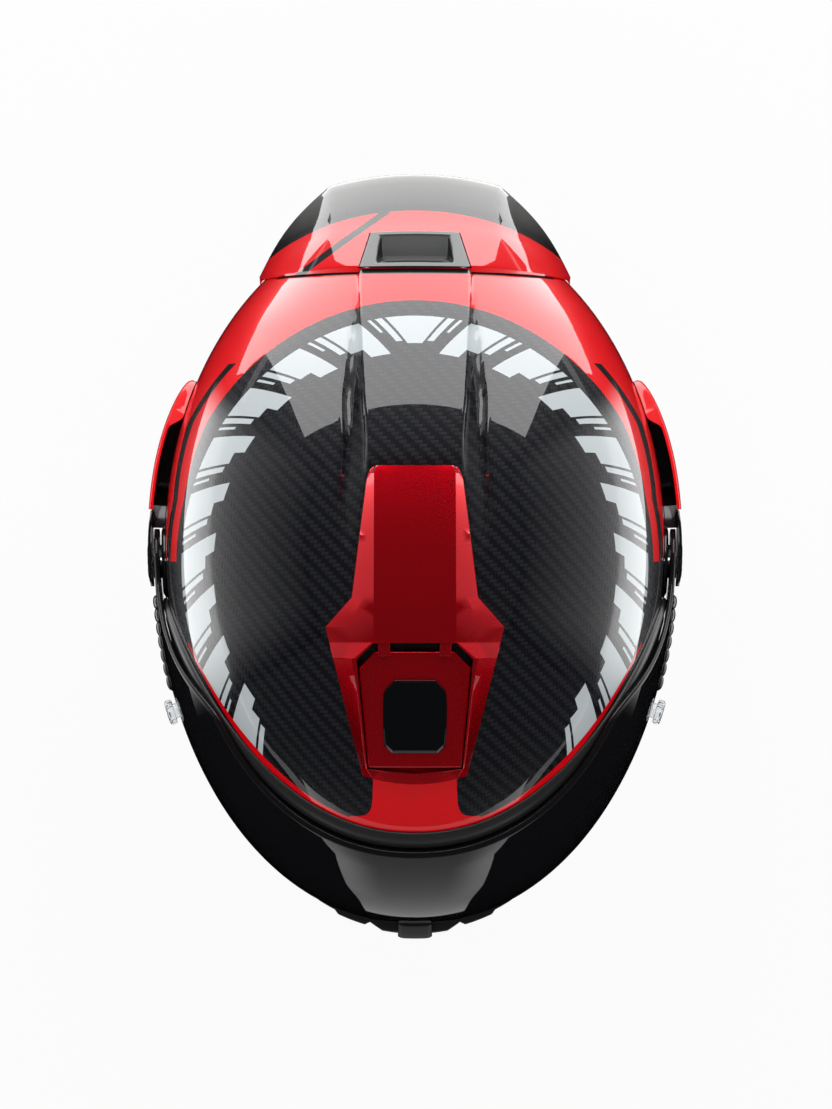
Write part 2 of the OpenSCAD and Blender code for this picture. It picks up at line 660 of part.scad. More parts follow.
// Low shell with a flat crest between two folded sides
module top_vent_housing() {
    across = [-1, -0.97, -0.8, -0.52, -0.25, 0, 0.25, 0.52, 0.8, 0.97, 1];
    lift = [0.1, 0.3, 0.62, 1, 1, 1, 1, 1, 0.62, 0.3, 0.1];
    function rows(top) = [for (u = [0 : len(across) - 1])
        [for (s = vent_stations) over_dome(across[u] * s[1] * vent_w, vent_y(s[0]),
            top ? max(1.1, lift[u] * s[2] * vent_h) : 0.4)]];
    color([0.62, 0.01, 0.03]) difference() {
        between(rows(true), rows(false));
        shutter_well();
    }
}
// Opening of the housing that the shutter runs in, with the air slot behind it
module shutter_well() {
    back = vent_y(shutter_back) + vent_travel + slide_gap;
    front = vent_y(shutter_front) - slide_gap;
    wide = shutter_half(shutter_back) + slide_gap;
    narrow = shutter_half(shutter_front) + slide_gap;
    half = [[wide - shutter_corner, back], [wide, back - shutter_corner], [narrow, front]];
    translate([0, 0, shell_h - 60]) linear_extrude(100)
        polygon(concat(half, [for (k = count_down(3)) [-half[k][0], half[k][1]]]));
}

// A plate that follows the dome: stations are [y, half width], low and high its two surfaces
module dome_plate(stations, low, high, bevel, wide = 6) {
    function rows(d, drop) = [for (u = [0 : wide]) [for (s = stations)
        let (v = 2 * u / wide - 1) over_dome(v * s[1], s[0], d - (abs(v) == 1 ? drop : 0))]];
    between(rows(high, bevel), rows(low, 0));
}
// Lays its children on the crown over the plan point x, y, with +Z pointing out
module on_crown(x, y, d) {
    n = dome_normal(x, y);
    translate(on_dome(x, y, d)) rotate([0, acos(n[2]), atan2(n[1], n[0])]) children();
}
shutter_low = 1.2;
shutter_high = 6.2;
module top_vent_shutter() {
    ks = [0, 0.14, 0.35, 0.6, 0.85, 1];
    stations = [for (k = ks) let (s = mix(shutter_back, shutter_front, k))
        [vent_y(s), shutter_half(s) - (k == 0 ? shutter_corner : 0)]];
    mid = vent_y((shutter_back + shutter_front) / 2);
    color([0.66, 0.01, 0.03]) {
        dome_plate(stations, shutter_low, shutter_high, 1);
        for (x = [-17, 17]) on_crown(x, mid, seat + 0.05) cylinder(r = 2.2, h = shutter_low + 0.5);
    }
}
grip_l = 33.5;
grip_half = 14.5;
module top_vent_grip() {
    mid = vent_y(0.804);
    stations = [for (s = [[0.5, -5], [0.34, -0.4], [0, 0], [-0.4, -0.6], [-0.5, -3.5]])
        [mid + grip_l * s[0], grip_half + s[1]]];
    color([0.03, 0.04, 0.04]) dome_plate(stations, shutter_high + 0.25, shutter_high + 2, 0.8, 6);
}

// Spoiler

// The seam lies where the shell is spoiler_seam behind the crown; u runs along it from -1 to 1
function seam_z(t) = nape_z + (shell_h - nape_z) * cap(spoiler_seam / (back_reach * abs(cos(t))), 2.2);
seam_half = acos(spoiler_seam / back_reach) - 0.4;
tip_z = 200;                    // height and shape of the trailing edge
tip_drop = 9;
tip_bow = 4.7;
tip_share = 0.56;               // share of the seam that the trailing edge goes with
spoiler_foot = 42;
function seam_point(u, d) = let (t = 180 + seam_half * u) skin(t, seam_z(t), d);
function tip_point(u) =
    let (back = crown_y + spoiler_reach, k = abs(u) / tip_share, far = (k - 1) * tip_share / (1 - tip_share),
         corner = [spoiler_w, back - tip_bow, tip_z - tip_drop],
         end = seam_point(-1, 2) + [0, 1, -1],
         p = k < 1 ? [spoiler_w * k, back - tip_bow * k * k, tip_z - tip_drop * k * k]
                   : mix(corner, end, far) + 3.5 * sin(180 * far) * [0.8, 0.6, 0])
    [u > 0 ? -p[0] : p[0], p[1], p[2]];
function foot_point(u, k, d) =
    let (t = 180 + seam_half * u) skin(t, seam_z(t) - k * spoiler_foot * (1 - 0.75 * u * u), d);
function spoiler_fat(u) = mix(3.2, 1.4, smooth(abs(u), 0.5, 1));
// Point of the spoiler's top at share u of the seam and share k of the way back to the edge
function spoiler_top(u, k) =
    mix(seam_point(u, spoiler_fat(u)), tip_point(u), k) + [0, 0, 1.8 * sin(180 * k)];

module spoiler() {
    us = [for (k = [0 : 24]) -1 + k / 12];
    function outer(u) =
        let (edge = tip_point(u), low = edge - [0, 0, spoiler_t], foot = foot_point(u, 1, 1.4))
        [foot, mix(foot, low, 0.55) + [0, -3, 2], low, edge, spoiler_top(u, 0.66),
         spoiler_top(u, 0.33), seam_point(u, spoiler_fat(u))];
    function inner(u) = [for (k = [1, 0.85, 0.7, 0.5, 0.34, 0.17, 0]) foot_point(u, k, 0.6)];
    outer_columns = [for (u = us) outer(u)];
    inner_columns = [for (u = us) inner(u)];
    color([0.75, 0.02, 0.02]) difference() {
        between([for (r = [0 : 6]) [for (c = outer_columns) c[r]]],
                [for (r = [0 : 6]) [for (c = inner_columns) c[r]]]);
        exhaust_well();
    }
}

// Exhaust port: a frame with a ramp in it and an outlet at each side, let into the spoiler
exhaust_u = 0.38;               // half width, as a share of the seam
exhaust_k = 0.385;              // length, as a share of the way back
exhaust_taper = 0.92;
module exhaust_well() {
    half = [[spoiler_top(-exhaust_u, 0)[0] + 0.7, spoiler_top(0, -0.15)[1]],
            [spoiler_top(-exhaust_u * exhaust_taper, exhaust_k)[0] + 0.5,
             spoiler_top(0, exhaust_k)[1] + 0.4]];
    translate([0, 0, tip_z - 30]) linear_extrude(80)
        polygon(concat(half, [for (k = [1, 0]) [-half[k][0], half[k][1]]]));
}
module exhaust_frame() {
    us = [-1, -0.94, -0.72, 0, 0.72, 0.94, 1] * exhaust_u;
    ks = [0.01, 0.07, 0.1, 0.34, 0.37, exhaust_k];
    deep = [0, 0, 2, 9.5, 0, 0];
    function inset(k) = mix(1, exhaust_taper, k / exhaust_k);
    function top(a, b) =
        let (p = spoiler_top(us[a] * inset(ks[b]), ks[b]), in = a > 1 && a < 5)
        p + [0, 0, (a == 0 || a == 6 ? -0.4 : 0.7) - (in ? deep[b] : 0)];
    function low(a, b) = let (p = top(a, b)) over_dome(p[0], p[1], 0.6);
    color([0.3, 0.31, 0.31]) difference() {
        between([for (a = [0 : 6]) [for (b = [0 : 5]) top(a, b)]],
                [for (a = [0 : 6]) [for (b = [0 : 5]) low(a, b)]]);
        outlets();
    }
}
module outlets() {
    y0 = spoiler_top(0, 0.11)[1];
    y1 = spoiler_top(0, 0.33)[1];
    both_sides() translate([0, 0, tip_z - 10]) linear_extrude(60)
        polygon([[13.5, y0], [18.5, y0], [14.3, y1], [13.5, y1]]);
}

// Side fins: a wall that stands off the shell behind the pivot, roofed over its back end

fin_start = 25.5;               // from the pivot back to the fin's front and back ends
fin_end = 86;
fin_off = 8.6;                  // how far its front and back ends stand off the shell
fin_off_end = 2.4;
fin_low = [126, 143];           // heights of its lower and upper edges, front and back
fin_high = [169, 160];
module side_fin() {
    wall = 1.8;
    t0 = angle_at(pivot_y + fin_start, pivot_z);
    t1 = angle_at(pivot_y + fin_end, pivot_z);
    steps = 10;
    function profile(k, inside) =
        let (t = mix(t0, t1, k), h = mix(fin_off_end, fin_off, pow(1 - pow(k, 3), 0.5)),
             low = mix(fin_low[0], fin_low[1], k),
             high = mix(fin_high[0], fin_high[1], k) - 3 * pow(1 - k, 6),
             arch = smooth(k, 0.6, 0.72), roof = mix(h - wall - 0.3, seat + 0.1, arch))
        inside ? [skin(t, low + wall, seat), skin(t, low + wall, max(seat + 0.2, h - wall)),
                  skin(t, mix(low, high, 0.5), max(seat + 0.2, h - wall)),
                  skin(t, high - wall, max(seat + 0.2, h - wall)), skin(t, high - wall, roof)]
               : [skin(t, low, seat), skin(t, low + 1, h - 1), skin(t, mix(low, high, 0.5), h),
                  skin(t, high, h - 0.8), skin(t, high + 3 * arch, roof)];
    outer = [for (s = [0 : steps]) profile(s / steps, false)];
    inner = [for (s = [0 : steps]) profile(s / steps, true)];
    color([0.8, 0.02, 0.02]) between([for (r = [0 : 4]) [for (c = outer) c[r]]],
                                     [for (r = [0 : 4]) [for (c = inner) c[r]]]);
}

// Chin strap

strap_y = crown_y - 22;
anchor_z = 58;
rivet_r = 2;
rivet_z = anchor_z - 6;
ring_x = 64;
ring_z = 12;
loop_r = 4;                     // inside radius of the loop round the bars of the D-rings
bar_apart = 3.8;                // between the bars of the two D-rings
ring_slope = 18;                // both rings lie slanting down, their far ends near the ground
function inside_x(z) = on_shell(angle_at(strap_y, z), z)[0] - strap_d - strap_t / 2;
// Ribbon of webbing along a line of [x, z] points, strap_w wide about strap_y
module ribbon(line) {
    n = len(line);
    function across(k) =
        let (d = line[min(n - 1, k + 1)] - line[max(0, k - 1)]) [-d[1], d[0]] / norm(d);
    function edge(side) = [for (y = [-strap_w / 2, strap_w / 2]) [for (k = [0 : n - 1])
        let (p = line[k] + side * across(k) * strap_t / 2) [p[0], strap_y + y, p[1]]]];
    between(edge(1), edge(-1));
}
module at_rivet() { stand_on(angle_at(strap_y, rivet_z), rivet_z, -strap_d - strap_t) children(); }
module rivet_shank(r) { at_rivet() translate([0, 0, -0.6]) cylinder(r = r, h = strap_t + strap_d + 1.2); }
strap_drop = [for (z = [anchor_z, 44, 32, 22]) [inside_x(z), z]];
// Short strap on the wearer's left, its end sewn into a loop round the D-rings
module strap_left() {
    turn = 22 - ring_z;
    bend = concat(strap_drop,
                  [for (a = [18 : 18 : 90]) [inside_x(22) - turn * (1 - cos(a)), 22 - turn * sin(a)]],
                  [[ring_x + loop_r + strap_t / 2, ring_z]]);
    color([0.05, 0.05, 0.05]) difference() {
        union() {
            ribbon(bend);
            translate([ring_x, strap_y, ring_z]) rotate([90, 0, 0])
                cylinder(r = loop_r + strap_t, h = strap_w, center = true);
        }
        translate([ring_x, strap_y, ring_z]) rotate([90, 0, 0])
            cylinder(r = loop_r, h = strap_w + 1, center = true);
        rivet_shank(rivet_r + hole_gap);
    }
}
// Long strap from the wearer's right, its free end lying inside the neck opening
strap_lie = strap_t / 2 + 0.5;
function strap_wave(x) = strap_lie + 1.2 * pow(sin(2.4 * x), 2);
module strap_right() {
    turn = 22 - strap_lie;
    bend = concat(strap_drop,
                  [for (a = [15 : 15 : 90]) [inside_x(22) - 18 * (1 - cos(a)), 22 - turn * sin(a)]],
                  [for (x = [60 : -15 : -30]) [x, strap_wave(x)]]);
    color([0.05, 0.05, 0.05]) difference() {
        mirrored() ribbon(bend);
        mirrored() rivet_shank(rivet_r + hole_gap);
    }
}
module d_ring(bar) {
    half = strap_w / 2 + 2.4;
    side = 8;
    color([0.75, 0.76, 0.78]) translate([ring_x, strap_y, ring_z]) rotate([0, -ring_slope, 0])
        translate([0, 0, bar]) {
            rotate([90, 0, 0]) cylinder(r = ring_wire_r, h = 2 * half, center = true);
            for (k = [-1, 1]) translate([0, k * half, 0]) {
                sphere(r = ring_wire_r);
                rotate([0, -90, 0]) cylinder(r = ring_wire_r, h = side);
            }
            translate([-side, 0, 0]) rotate([0, 0, 90]) rotate_extrude(angle = 180)
                translate([half, 0]) circle(r = ring_wire_r);
        }
}
module strap_rivets() {
    color([0.7, 0.7, 0.72]) both_sides() {
        rivet_shank(rivet_r);
        at_rivet() translate([0, 0, -1.4]) cylinder(r = 4, h = 0.9);
    }
}
module strap_snap() {
    x = 22;
    color([0.7, 0.7, 0.72]) translate([x, strap_y, strap_wave(x) + strap_t / 2 + seat]) cylinder(r = 5, h = 2);
}
module release_tab() {
    function at(c, k, d) = skin(66 + c * 2.2, 28.3 - 18 * k, -pad_out - 8 - 10 * k - d);
    color([0.7, 0.02, 0.02]) between([for (k = [1, 0.5, 0]) [for (c = [0 : 4]) at(c, k, 0)]],
                                     [for (k = [1, 0.5, 0]) [for (c = [0 : 4]) at(c, k, 1.4)]]);
}

outer_shell();
edge_trim();
port_beading();
impact_foam();
chin_foam();
crown_lining();
cheek_pad();  // cheek_pad_left
mirrored() cheek_pad();  // cheek_pad_right
neck_roll();
chin_curtain();
breath_guard();
visor();
visor_tab();
tear_off_posts();
arm_trim();  // arm_trim_left
mirrored() arm_trim();  // arm_trim_right
pivot_base();  // pivot_base_left
mirrored() pivot_base();  // pivot_base_right
pivot_cover();  // pivot_cover_left
mirrored() pivot_cover();  // pivot_cover_right
pivot_screws();
chin_lip();
lock_button();
chin_vent_housing();
chin_vent_mesh();
chin_vent_slider();
top_vent_housing();
top_vent_shutter();
top_vent_grip();
spoiler();
exhaust_frame();
side_fin();  // side_fin_left
mirrored() side_fin();  // side_fin_right
strap_left();
strap_right();
d_ring(-bar_apart / 2);  // d_ring_lower
d_ring(bar_apart / 2);  // d_ring_upper
strap_rivets();
strap_snap();
release_tab();  // release_tab_left
mirrored() release_tab();  // release_tab_right
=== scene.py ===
# %% [markdown]
# # A full face racing helmet, dressed in Blender
#
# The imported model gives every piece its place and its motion. This lesson lays smooth meshes
# over it and gives each finish a material: carbon under clear coat, paint, smoke visor,
# rubber, foam, knit and webbing. Every piece of a helmet follows one surface, the outside of
# the shell, so the lesson starts with that surface and hangs all pieces on it.

# %% Load the frame
import math

import bmesh
import bpy
import numpy as np
from mathutils import Matrix, Vector


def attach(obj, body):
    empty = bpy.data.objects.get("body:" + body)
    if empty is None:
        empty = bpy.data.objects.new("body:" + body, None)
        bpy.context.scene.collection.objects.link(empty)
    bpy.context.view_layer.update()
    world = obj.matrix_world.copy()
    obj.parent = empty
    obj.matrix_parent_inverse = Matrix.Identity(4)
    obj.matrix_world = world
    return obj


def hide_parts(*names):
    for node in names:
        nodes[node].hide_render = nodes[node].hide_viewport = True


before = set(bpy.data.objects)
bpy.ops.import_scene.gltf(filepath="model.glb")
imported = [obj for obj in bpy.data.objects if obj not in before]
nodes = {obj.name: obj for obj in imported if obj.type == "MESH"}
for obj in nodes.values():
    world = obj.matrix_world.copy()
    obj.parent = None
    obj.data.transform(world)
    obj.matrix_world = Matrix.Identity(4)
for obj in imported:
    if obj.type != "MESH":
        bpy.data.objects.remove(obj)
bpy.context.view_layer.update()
MM = 0.001                      # the surface is written in millimetres, as on a drawing

# %% [markdown]
# ## The surface of the shell
#
# A helmet shell is a rounded form with three different reaches: sideways, forwards and
# backwards. Each reach shrinks with height like a rounded square, which is why the dome looks
# fuller than a ball. A point is named by its angle t round the helmet (0 at the chin, 90 at
# the wearer's left ear) and its height z. The functions take arrays, so that a whole mesh is
# placed in one call.

# %% Shell surface
SHELL_W, SHELL_H = 239, 262
CHIN_REACH, BACK_REACH = 184, 157
WAIST_Z, CHIN_Z, NAPE_Z = 148, 70, 140
CROWN_Y = 13
SHELL_T = 3


def cap(q, p):
    """How much of a reach is left at the share q of the way up."""
    return np.maximum(0, 1 - np.maximum(0, q) ** p) ** (1 / p)


def smooth(v, start, end):
    """0 before start, 1 after end, and an S-curve between."""
    k = np.clip((v - start) / (end - start), 0, 1)
    return k * k * (3 - 2 * k)


def mix(a, b, k):
    return a + (b - a) * k


def half_width(z):
    low = 1 - 0.18 * (np.maximum(0, WAIST_Z - z) / WAIST_Z) ** 2.2
    return SHELL_W / 2 * np.where(z > WAIST_Z, cap((z - WAIST_Z) / (SHELL_H - WAIST_Z), 2.3), low)


def front_at(z):
    low = 1 - 0.1 * (np.maximum(0, CHIN_Z - z) / CHIN_Z) ** 2
    return CHIN_REACH * np.where(z > CHIN_Z, cap((z - CHIN_Z) / (SHELL_H - CHIN_Z), 2.5), low)


def back_at(z):
    low = 1 - 0.33 * (np.maximum(0, NAPE_Z - z) / NAPE_Z) ** 1.8
    return BACK_REACH * np.where(z > NAPE_Z, cap((z - NAPE_Z) / (SHELL_H - NAPE_Z), 2.2), low)


def front_power(z):
    return 2.05 + 0.08 * smooth(z, 60, 140)


def stack(x, y, z):
    x, y, z = np.broadcast_arrays(x, y, z)
    return np.stack([x, y, z], axis=-1).astype(float)


def on_shell(t, z):
    """Point of the shell's outside at angle t, in degrees, and height z."""
    t, z = np.broadcast_arrays(np.radians(np.asarray(t, float)), np.asarray(z, float))
    front = np.cos(t) > 0
    p = 2 / np.where(front, front_power(z), 2)
    x = half_width(z) * np.sign(np.sin(t)) * np.abs(np.sin(t)) ** p
    y = CROWN_Y + np.where(front, -front_at(z), back_at(z)) * np.abs(np.cos(t)) ** p
    return stack(x, y, z)


def skin(t, z, d):
    """The same point, d millimetres outside the shell, or inside it where d is negative."""
    h = np.minimum(z, SHELL_H - 0.4)
    n = np.cross(on_shell(t + 0.4, h) - on_shell(t - 0.4, h),
                 on_shell(t, h + 0.2) - on_shell(t, h - 0.2))
    n /= np.linalg.norm(n, axis=-1, keepdims=True)
    return on_shell(t, z) + np.asarray(d)[..., None] * n


def fullness(x, y, z):
    """Below 1 inside the shell, 1 on it."""
    front = y < CROWN_Y
    p = np.where(front, front_power(z), 2)
    reach = np.maximum(np.where(front, front_at(z), back_at(z)), 1e-6)
    return (np.abs(x) / np.maximum(half_width(z), 1e-6)) ** p + (np.abs(y - CROWN_Y) / reach) ** p


def dome_z(x, y):
    """Height of the upper shell over the plan point x, y, found by halving."""
    low, high = np.full(np.shape(x + y), 100.0), np.full(np.shape(x + y), float(SHELL_H))
    for _ in range(26):
        mid = (low + high) / 2
        inside = fullness(x, y, mid) < 1
        low, high = np.where(inside, mid, low), np.where(inside, high, mid)
    return low


def dome_normal(x, y):
    n = stack(dome_z(x - 1, y) - dome_z(x + 1, y), dome_z(x, y - 1) - dome_z(x, y + 1), 2.0)
    return n / np.linalg.norm(n, axis=-1, keepdims=True)


def over_dome(x, y, d):
    """The point over x, y that is d millimetres off the dome, kept straight above x, y."""
    return stack(x, y, dome_z(x, y) + d / dome_normal(x, y)[..., 2])


print("crown at", over_dome(0.0, 13.0, 0.0).round(1), "mm")

# %% [markdown]
# ## Bending a grid
#
# Most panels here start as Blender's own flat grid, with corners at 0 and 1. Each vertex is
# then moved to the place that a function gives for its spot (u, v). The flat spot is kept as
# the UV map, so a weave can follow the surface. The alternative, sculpting by hand, would lose
# the exact fit to the frame.

# %% Grid helpers
def grid(cols, rows, wide=1.0, high=1.0):
    """A flat grid from 0 to 1 both ways, with a UV map of wide by high metres."""
    bm = bmesh.new()
    bmesh.ops.create_grid(bm, x_segments=cols, y_segments=rows, size=0.5)
    bmesh.ops.translate(bm, vec=(0.5, 0.5, 0), verts=bm.verts)
    uv = bm.loops.layers.uv.new("weave")
    for face in bm.faces:
        for loop in face.loops:
            loop[uv].uv = (loop.vert.co.x * wide, loop.vert.co.y * high)
    return bm


def lay(bm, place):
    """Moves each vertex of a flat grid to place(u, v), which answers in millimetres."""
    flat = np.array([v.co for v in bm.verts])
    u, v = flat[:, 0].round(6), flat[:, 1].round(6)
    for vert, spot in zip(bm.verts, place(u, v) * MM):
        vert.co = spot
    return bm


def weld(bm, distance=0.00002):
    bmesh.ops.remove_doubles(bm, verts=bm.verts, dist=distance)
    return bm


def mirrored(bm):
    """Turns a piece for the wearer's left into the one for the right."""
    bmesh.ops.scale(bm, vec=(-1, 1, 1), verts=bm.verts)
    bmesh.ops.reverse_faces(bm, faces=bm.faces)
    return bm


def curve(u, points):
    """Straight runs through (at, value) pairs."""
    at, value = zip(*points)
    return np.interp(u, at, value)


def finish_piece(bm, name, body, material, stands_for=(), sharp=40, wall=0, rounding=0, levels=0):
    """Makes the mesh an object that rides on a body and shows in place of its CAD nodes."""
    mesh = bpy.data.meshes.new(name)
    bm.to_mesh(mesh)
    bm.free()
    mesh.materials.append(material)
    mesh.polygons.foreach_set("use_smooth", [True] * len(mesh.polygons))
    mesh.set_sharp_from_angle(angle=math.radians(sharp))
    piece = bpy.data.objects.new(name, mesh)
    bpy.context.scene.collection.objects.link(piece)
    if wall:
        m = piece.modifiers.new("wall", "SOLIDIFY")
        m.thickness = wall * MM
        m.offset = -1
    if rounding:
        m = piece.modifiers.new("rounding", "BEVEL")
        m.width = rounding * MM
        m.segments = 2
        m.limit_method = "ANGLE"
        m.angle_limit = math.radians(max(sharp, 25))
    if levels:
        m = piece.modifiers.new("subdivision", "SUBSURF")
        m.levels = m.render_levels = levels
    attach(piece, body)
    if stands_for:
        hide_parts(*stands_for)
    print(f"{name}: {len(mesh.polygons)} faces")
    return piece


# %% [markdown]
# ## Writing materials as sums
#
# Paint edges, weaves and stripes are all numbers worked out from a place on the helmet. A
# small helper lets such a sum be written as Python and turns it into Blender's Math nodes.
# Pictures could do the same, but they need files and blur close up.

# %% Material helpers
class Sum:
    """A number that varies over a surface, as an output socket of a node."""

    def __init__(self, tree, socket):
        self.tree, self.socket = tree, socket

    def _math(self, operation, *values):
        node = self.tree.nodes.new("ShaderNodeMath")
        node.operation = operation
        for i, value in enumerate(values):
            if isinstance(value, Sum):
                self.tree.links.new(value.socket, node.inputs[i])
            else:
                node.inputs[i].default_value = value
        return Sum(self.tree, node.outputs[0])

    def __add__(self, b): return self._math("ADD", self, b)
    def __radd__(self, b): return self._math("ADD", b, self)
    def __sub__(self, b): return self._math("SUBTRACT", self, b)
    def __rsub__(self, b): return self._math("SUBTRACT", b, self)
    def __mul__(self, b): return self._math("MULTIPLY", self, b)
    def __rmul__(self, b): return self._math("MULTIPLY", b, self)
    def __truediv__(self, b): return self._math("DIVIDE", self, b)
    def __rtruediv__(self, b): return self._math("DIVIDE", b, self)
    def __pow__(self, b): return self._math("POWER", self, b)
    def __gt__(self, b): return self._math("GREATER_THAN", self, b)
    def __lt__(self, b): return self._math("LESS_THAN", self, b)
    def __neg__(self): return self._math("MULTIPLY", self, -1.0)
    def __and__(self, b): return self._math("MINIMUM", self, b)
    def __or__(self, b): return self._math("MAXIMUM", self, b)
    def sin(self): return self._math("SINE", self)
    def abs(self): return self._math("ABSOLUTE", self)
    def fract(self): return self._math("FRACT", self)
    def floor(self): return self._math("FLOOR", self)
    def angle_to(self, b): return self._math("ARCTAN2", self, b)
    def no(self): return self._math("SUBTRACT", 1.0, self)


class Finish:
    """A material with one Principled shader and the sums that feed it."""

    def __init__(self, name, color=(0.5, 0.5, 0.5), roughness=0.5, **sockets):
        self.material = bpy.data.materials.new(name)
        self.material.use_nodes = True
        self.tree = self.material.node_tree
        self.shader = self.tree.nodes["Principled BSDF"]
        self.shader.inputs["Base Color"].default_value = (*color, 1)
        self.shader.inputs["Roughness"].default_value = roughness
        for key, value in sockets.items():
            self.shader.inputs[key.replace("_", " ")].default_value = value
        self.material.diffuse_color = (*color, 1)

    def node(self, kind, **settings):
        made = self.tree.nodes.new("ShaderNode" + kind)
        for key, value in settings.items():
            setattr(made, key, value)
        return made

    def link(self, source, target):
        self.tree.links.new(source.socket if isinstance(source, Sum) else source, target)

    def place(self):
        """Object coordinates in millimetres, as three sums."""
        split = self.node("SeparateXYZ")
        self.link(self.node("TexCoord").outputs["Object"], split.inputs[0])
        return [Sum(self.tree, split.outputs[i]) * 1000.0 for i in range(3)]

    def weave_place(self):
        """The piece's own UV map in millimetres."""
        split = self.node("SeparateXYZ")
        self.link(self.node("UVMap", uv_map="weave").outputs[0], split.inputs[0])
        return [Sum(self.tree, split.outputs[i]) * 1000.0 for i in range(2)]

    def measured(self, name):
        """A number stored on the mesh's vertices."""
        return Sum(self.tree, self.node("Attribute", attribute_name=name).outputs["Fac"])

    def noise(self, scale, detail=3.0, roughness=0.5):
        made = self.node("TexNoise")
        made.inputs["Scale"].default_value = scale
        made.inputs["Detail"].default_value = detail
        made.inputs["Roughness"].default_value = roughness
        self.link(self.node("TexCoord").outputs["Object"], made.inputs["Vector"])
        return Sum(self.tree, made.outputs["Fac"])

    def blend(self, share, a, b):
        """Colour a where share is 0 and b where it is 1."""
        made = self.node("Mix", data_type="RGBA")
        self.link(share, made.inputs["Factor"])
        for value, socket in ((a, made.inputs["A"]), (b, made.inputs["B"])):
            if isinstance(value, tuple):
                socket.default_value = (*value, 1)
            else:
                self.link(value, socket)
        return made.outputs["Result"]

    def color(self, source):
        self.link(source, self.shader.inputs["Base Color"])

    def roughness(self, source):
        self.link(source, self.shader.inputs["Roughness"])

    def bump(self, height, distance, strength=1.0):
        made = self.node("Bump")
        made.inputs["Distance"].default_value = distance
        made.inputs["Strength"].default_value = strength
        self.link(height, made.inputs["Height"])
        self.link(made.outputs["Normal"], self.shader.inputs["Normal"])
        return made


def twill(finish, tow):
    """A two by two twill from the UV map: (which way the upper tow runs, its rounded height)."""
    u, v = finish.weave_place()
    a, b = u / tow, v / tow
    over = (((a.floor() + b.floor()) / 4.0).fract()) < 0.5
    along_u = (b.fract() * math.pi).sin()
    along_v = (a.fract() * math.pi).sin()
    height = over * along_u + over.no() * along_v
    return over, height


# %% [markdown]
# ## Paint and carbon
#
# The shell is woven carbon, painted in places, all under one thick clear coat. Paint layers
# need no relief of their own, because the clear coat levels them, so one material holds the
# whole scheme: a red tail that sweeps forward along the flanks, a ring of white slanted bars
# round the dome, and a red line over the eye port. The ring lies between two ellipses in plan.

# %% Colours of the scheme
RED = (0.86, 0.0, 0.005)
BLACK = (0.006, 0.006, 0.007)
WHITE = (0.58, 0.63, 0.65)
GREY = (0.045, 0.045, 0.047)


def carbon_color(finish):
    over, height = twill(finish, 1.75)
    light = (0.016, 0.017, 0.022)
    dark = (0.002, 0.002, 0.003)
    return finish.blend((over * 0.75 + height * 0.25) * (0.35 + height * 0.65), dark, light), height


def shell_paint():
    f = Finish("carbon_and_paint", roughness=0.38, Specular_IOR_Level=0.12, Coat_Weight=1.0,
               Coat_Roughness=0.015, Coat_IOR=1.55)
    x, y, z = f.place()
    q = f.measured("ring")
    brow = f.measured("brow")
    color, height = carbon_color(f)
    side = x.abs()
    around = x.angle_to(y)                             # 0 at the back, pi at the front
    # tail and flanks
    lean = (((68.0 - y) / 36.0) | 0.0) & 1.0           # both lines draw in over the ears
    tail = (q > 1.0 - lean * 0.035) & (q < 1.62) & (y > (3.0 + ((150.0 - z) | 0.0) * 0.62))
    pin = ((q + lean * 0.06 - 1.065).abs() < 0.011) & (y < 95.0)
    color = f.blend(tail & pin.no(), color, RED)
    low_stripe = (q > 1.66) & (q < 1.70) & (y > -40.0)
    color = f.blend(low_stripe, color, RED)
    color = f.blend(tail & pin, color, BLACK)
    # ring of slanted bars
    bar = (around.abs() * 3.9 - (q - 0.87) * 3.2 + 0.34).fract()
    wide_bar = (bar < 0.58) & (q > (0.80 + (bar > 0.36) * 0.035))
    thin_bar = (bar > 0.63) & (bar < 0.74) & (q > 0.845)
    pin_bar = (bar > 0.81) & (bar < 0.86) & (q > 0.885)
    ring = (q > 0.80) & (q < 0.94) & (around.abs() < 2.36 + (q - 0.8) * 0.8) & (wide_bar | thin_bar | pin_bar)
    color = f.blend(ring & (z > 120.0), color, WHITE)
    # lines over the eye port
    taper = 20.5 - (side - 70.0) * 0.09
    line = (brow > 15.8) & (brow < (taper & 20.0)) & (side < 106.0) & (z > 150.0)
    flare = (brow - 20.0) * (brow - 20.0)
    patch = (side < (19.0 + 46.0 / (flare * 0.35 + 4.0))) & (brow > 15.8) & (y < -80.0)
    color = f.blend(line | (patch & (z > 170.0)), color, RED)
    # painted shade: black along the eye port's edge, where the shell turns steeply down, and along the spoiler's seam,
    # standing for the dark reflection and the shade of the gap there
    edge = ((brow < 15.8) & (z > 150.0)) | ((y > 135.7) & (z > 184.0))
    color = f.blend(edge, color, BLACK)
    f.color(color)
    painted = tail | line | (patch & (z > 170.0)) | ring
    f.bump(height * painted.no(), 0.00012, 0.5)
    return f.material


CARBON = shell_paint()
print("materials so far:", len(bpy.data.materials))

# %% [markdown]
# ## The painted shell
#
# A real shell is laid up in a mould as one skin. The mesh is cut into slices from ear to ear,
# like bread, because the crown band and its two channels run from front to back and so lie
# along the slices. The grid bends right round each slice, the eye port and the neck are cut
# out afterwards, and the rubber trims cover the cut edges, as they do on the real one.

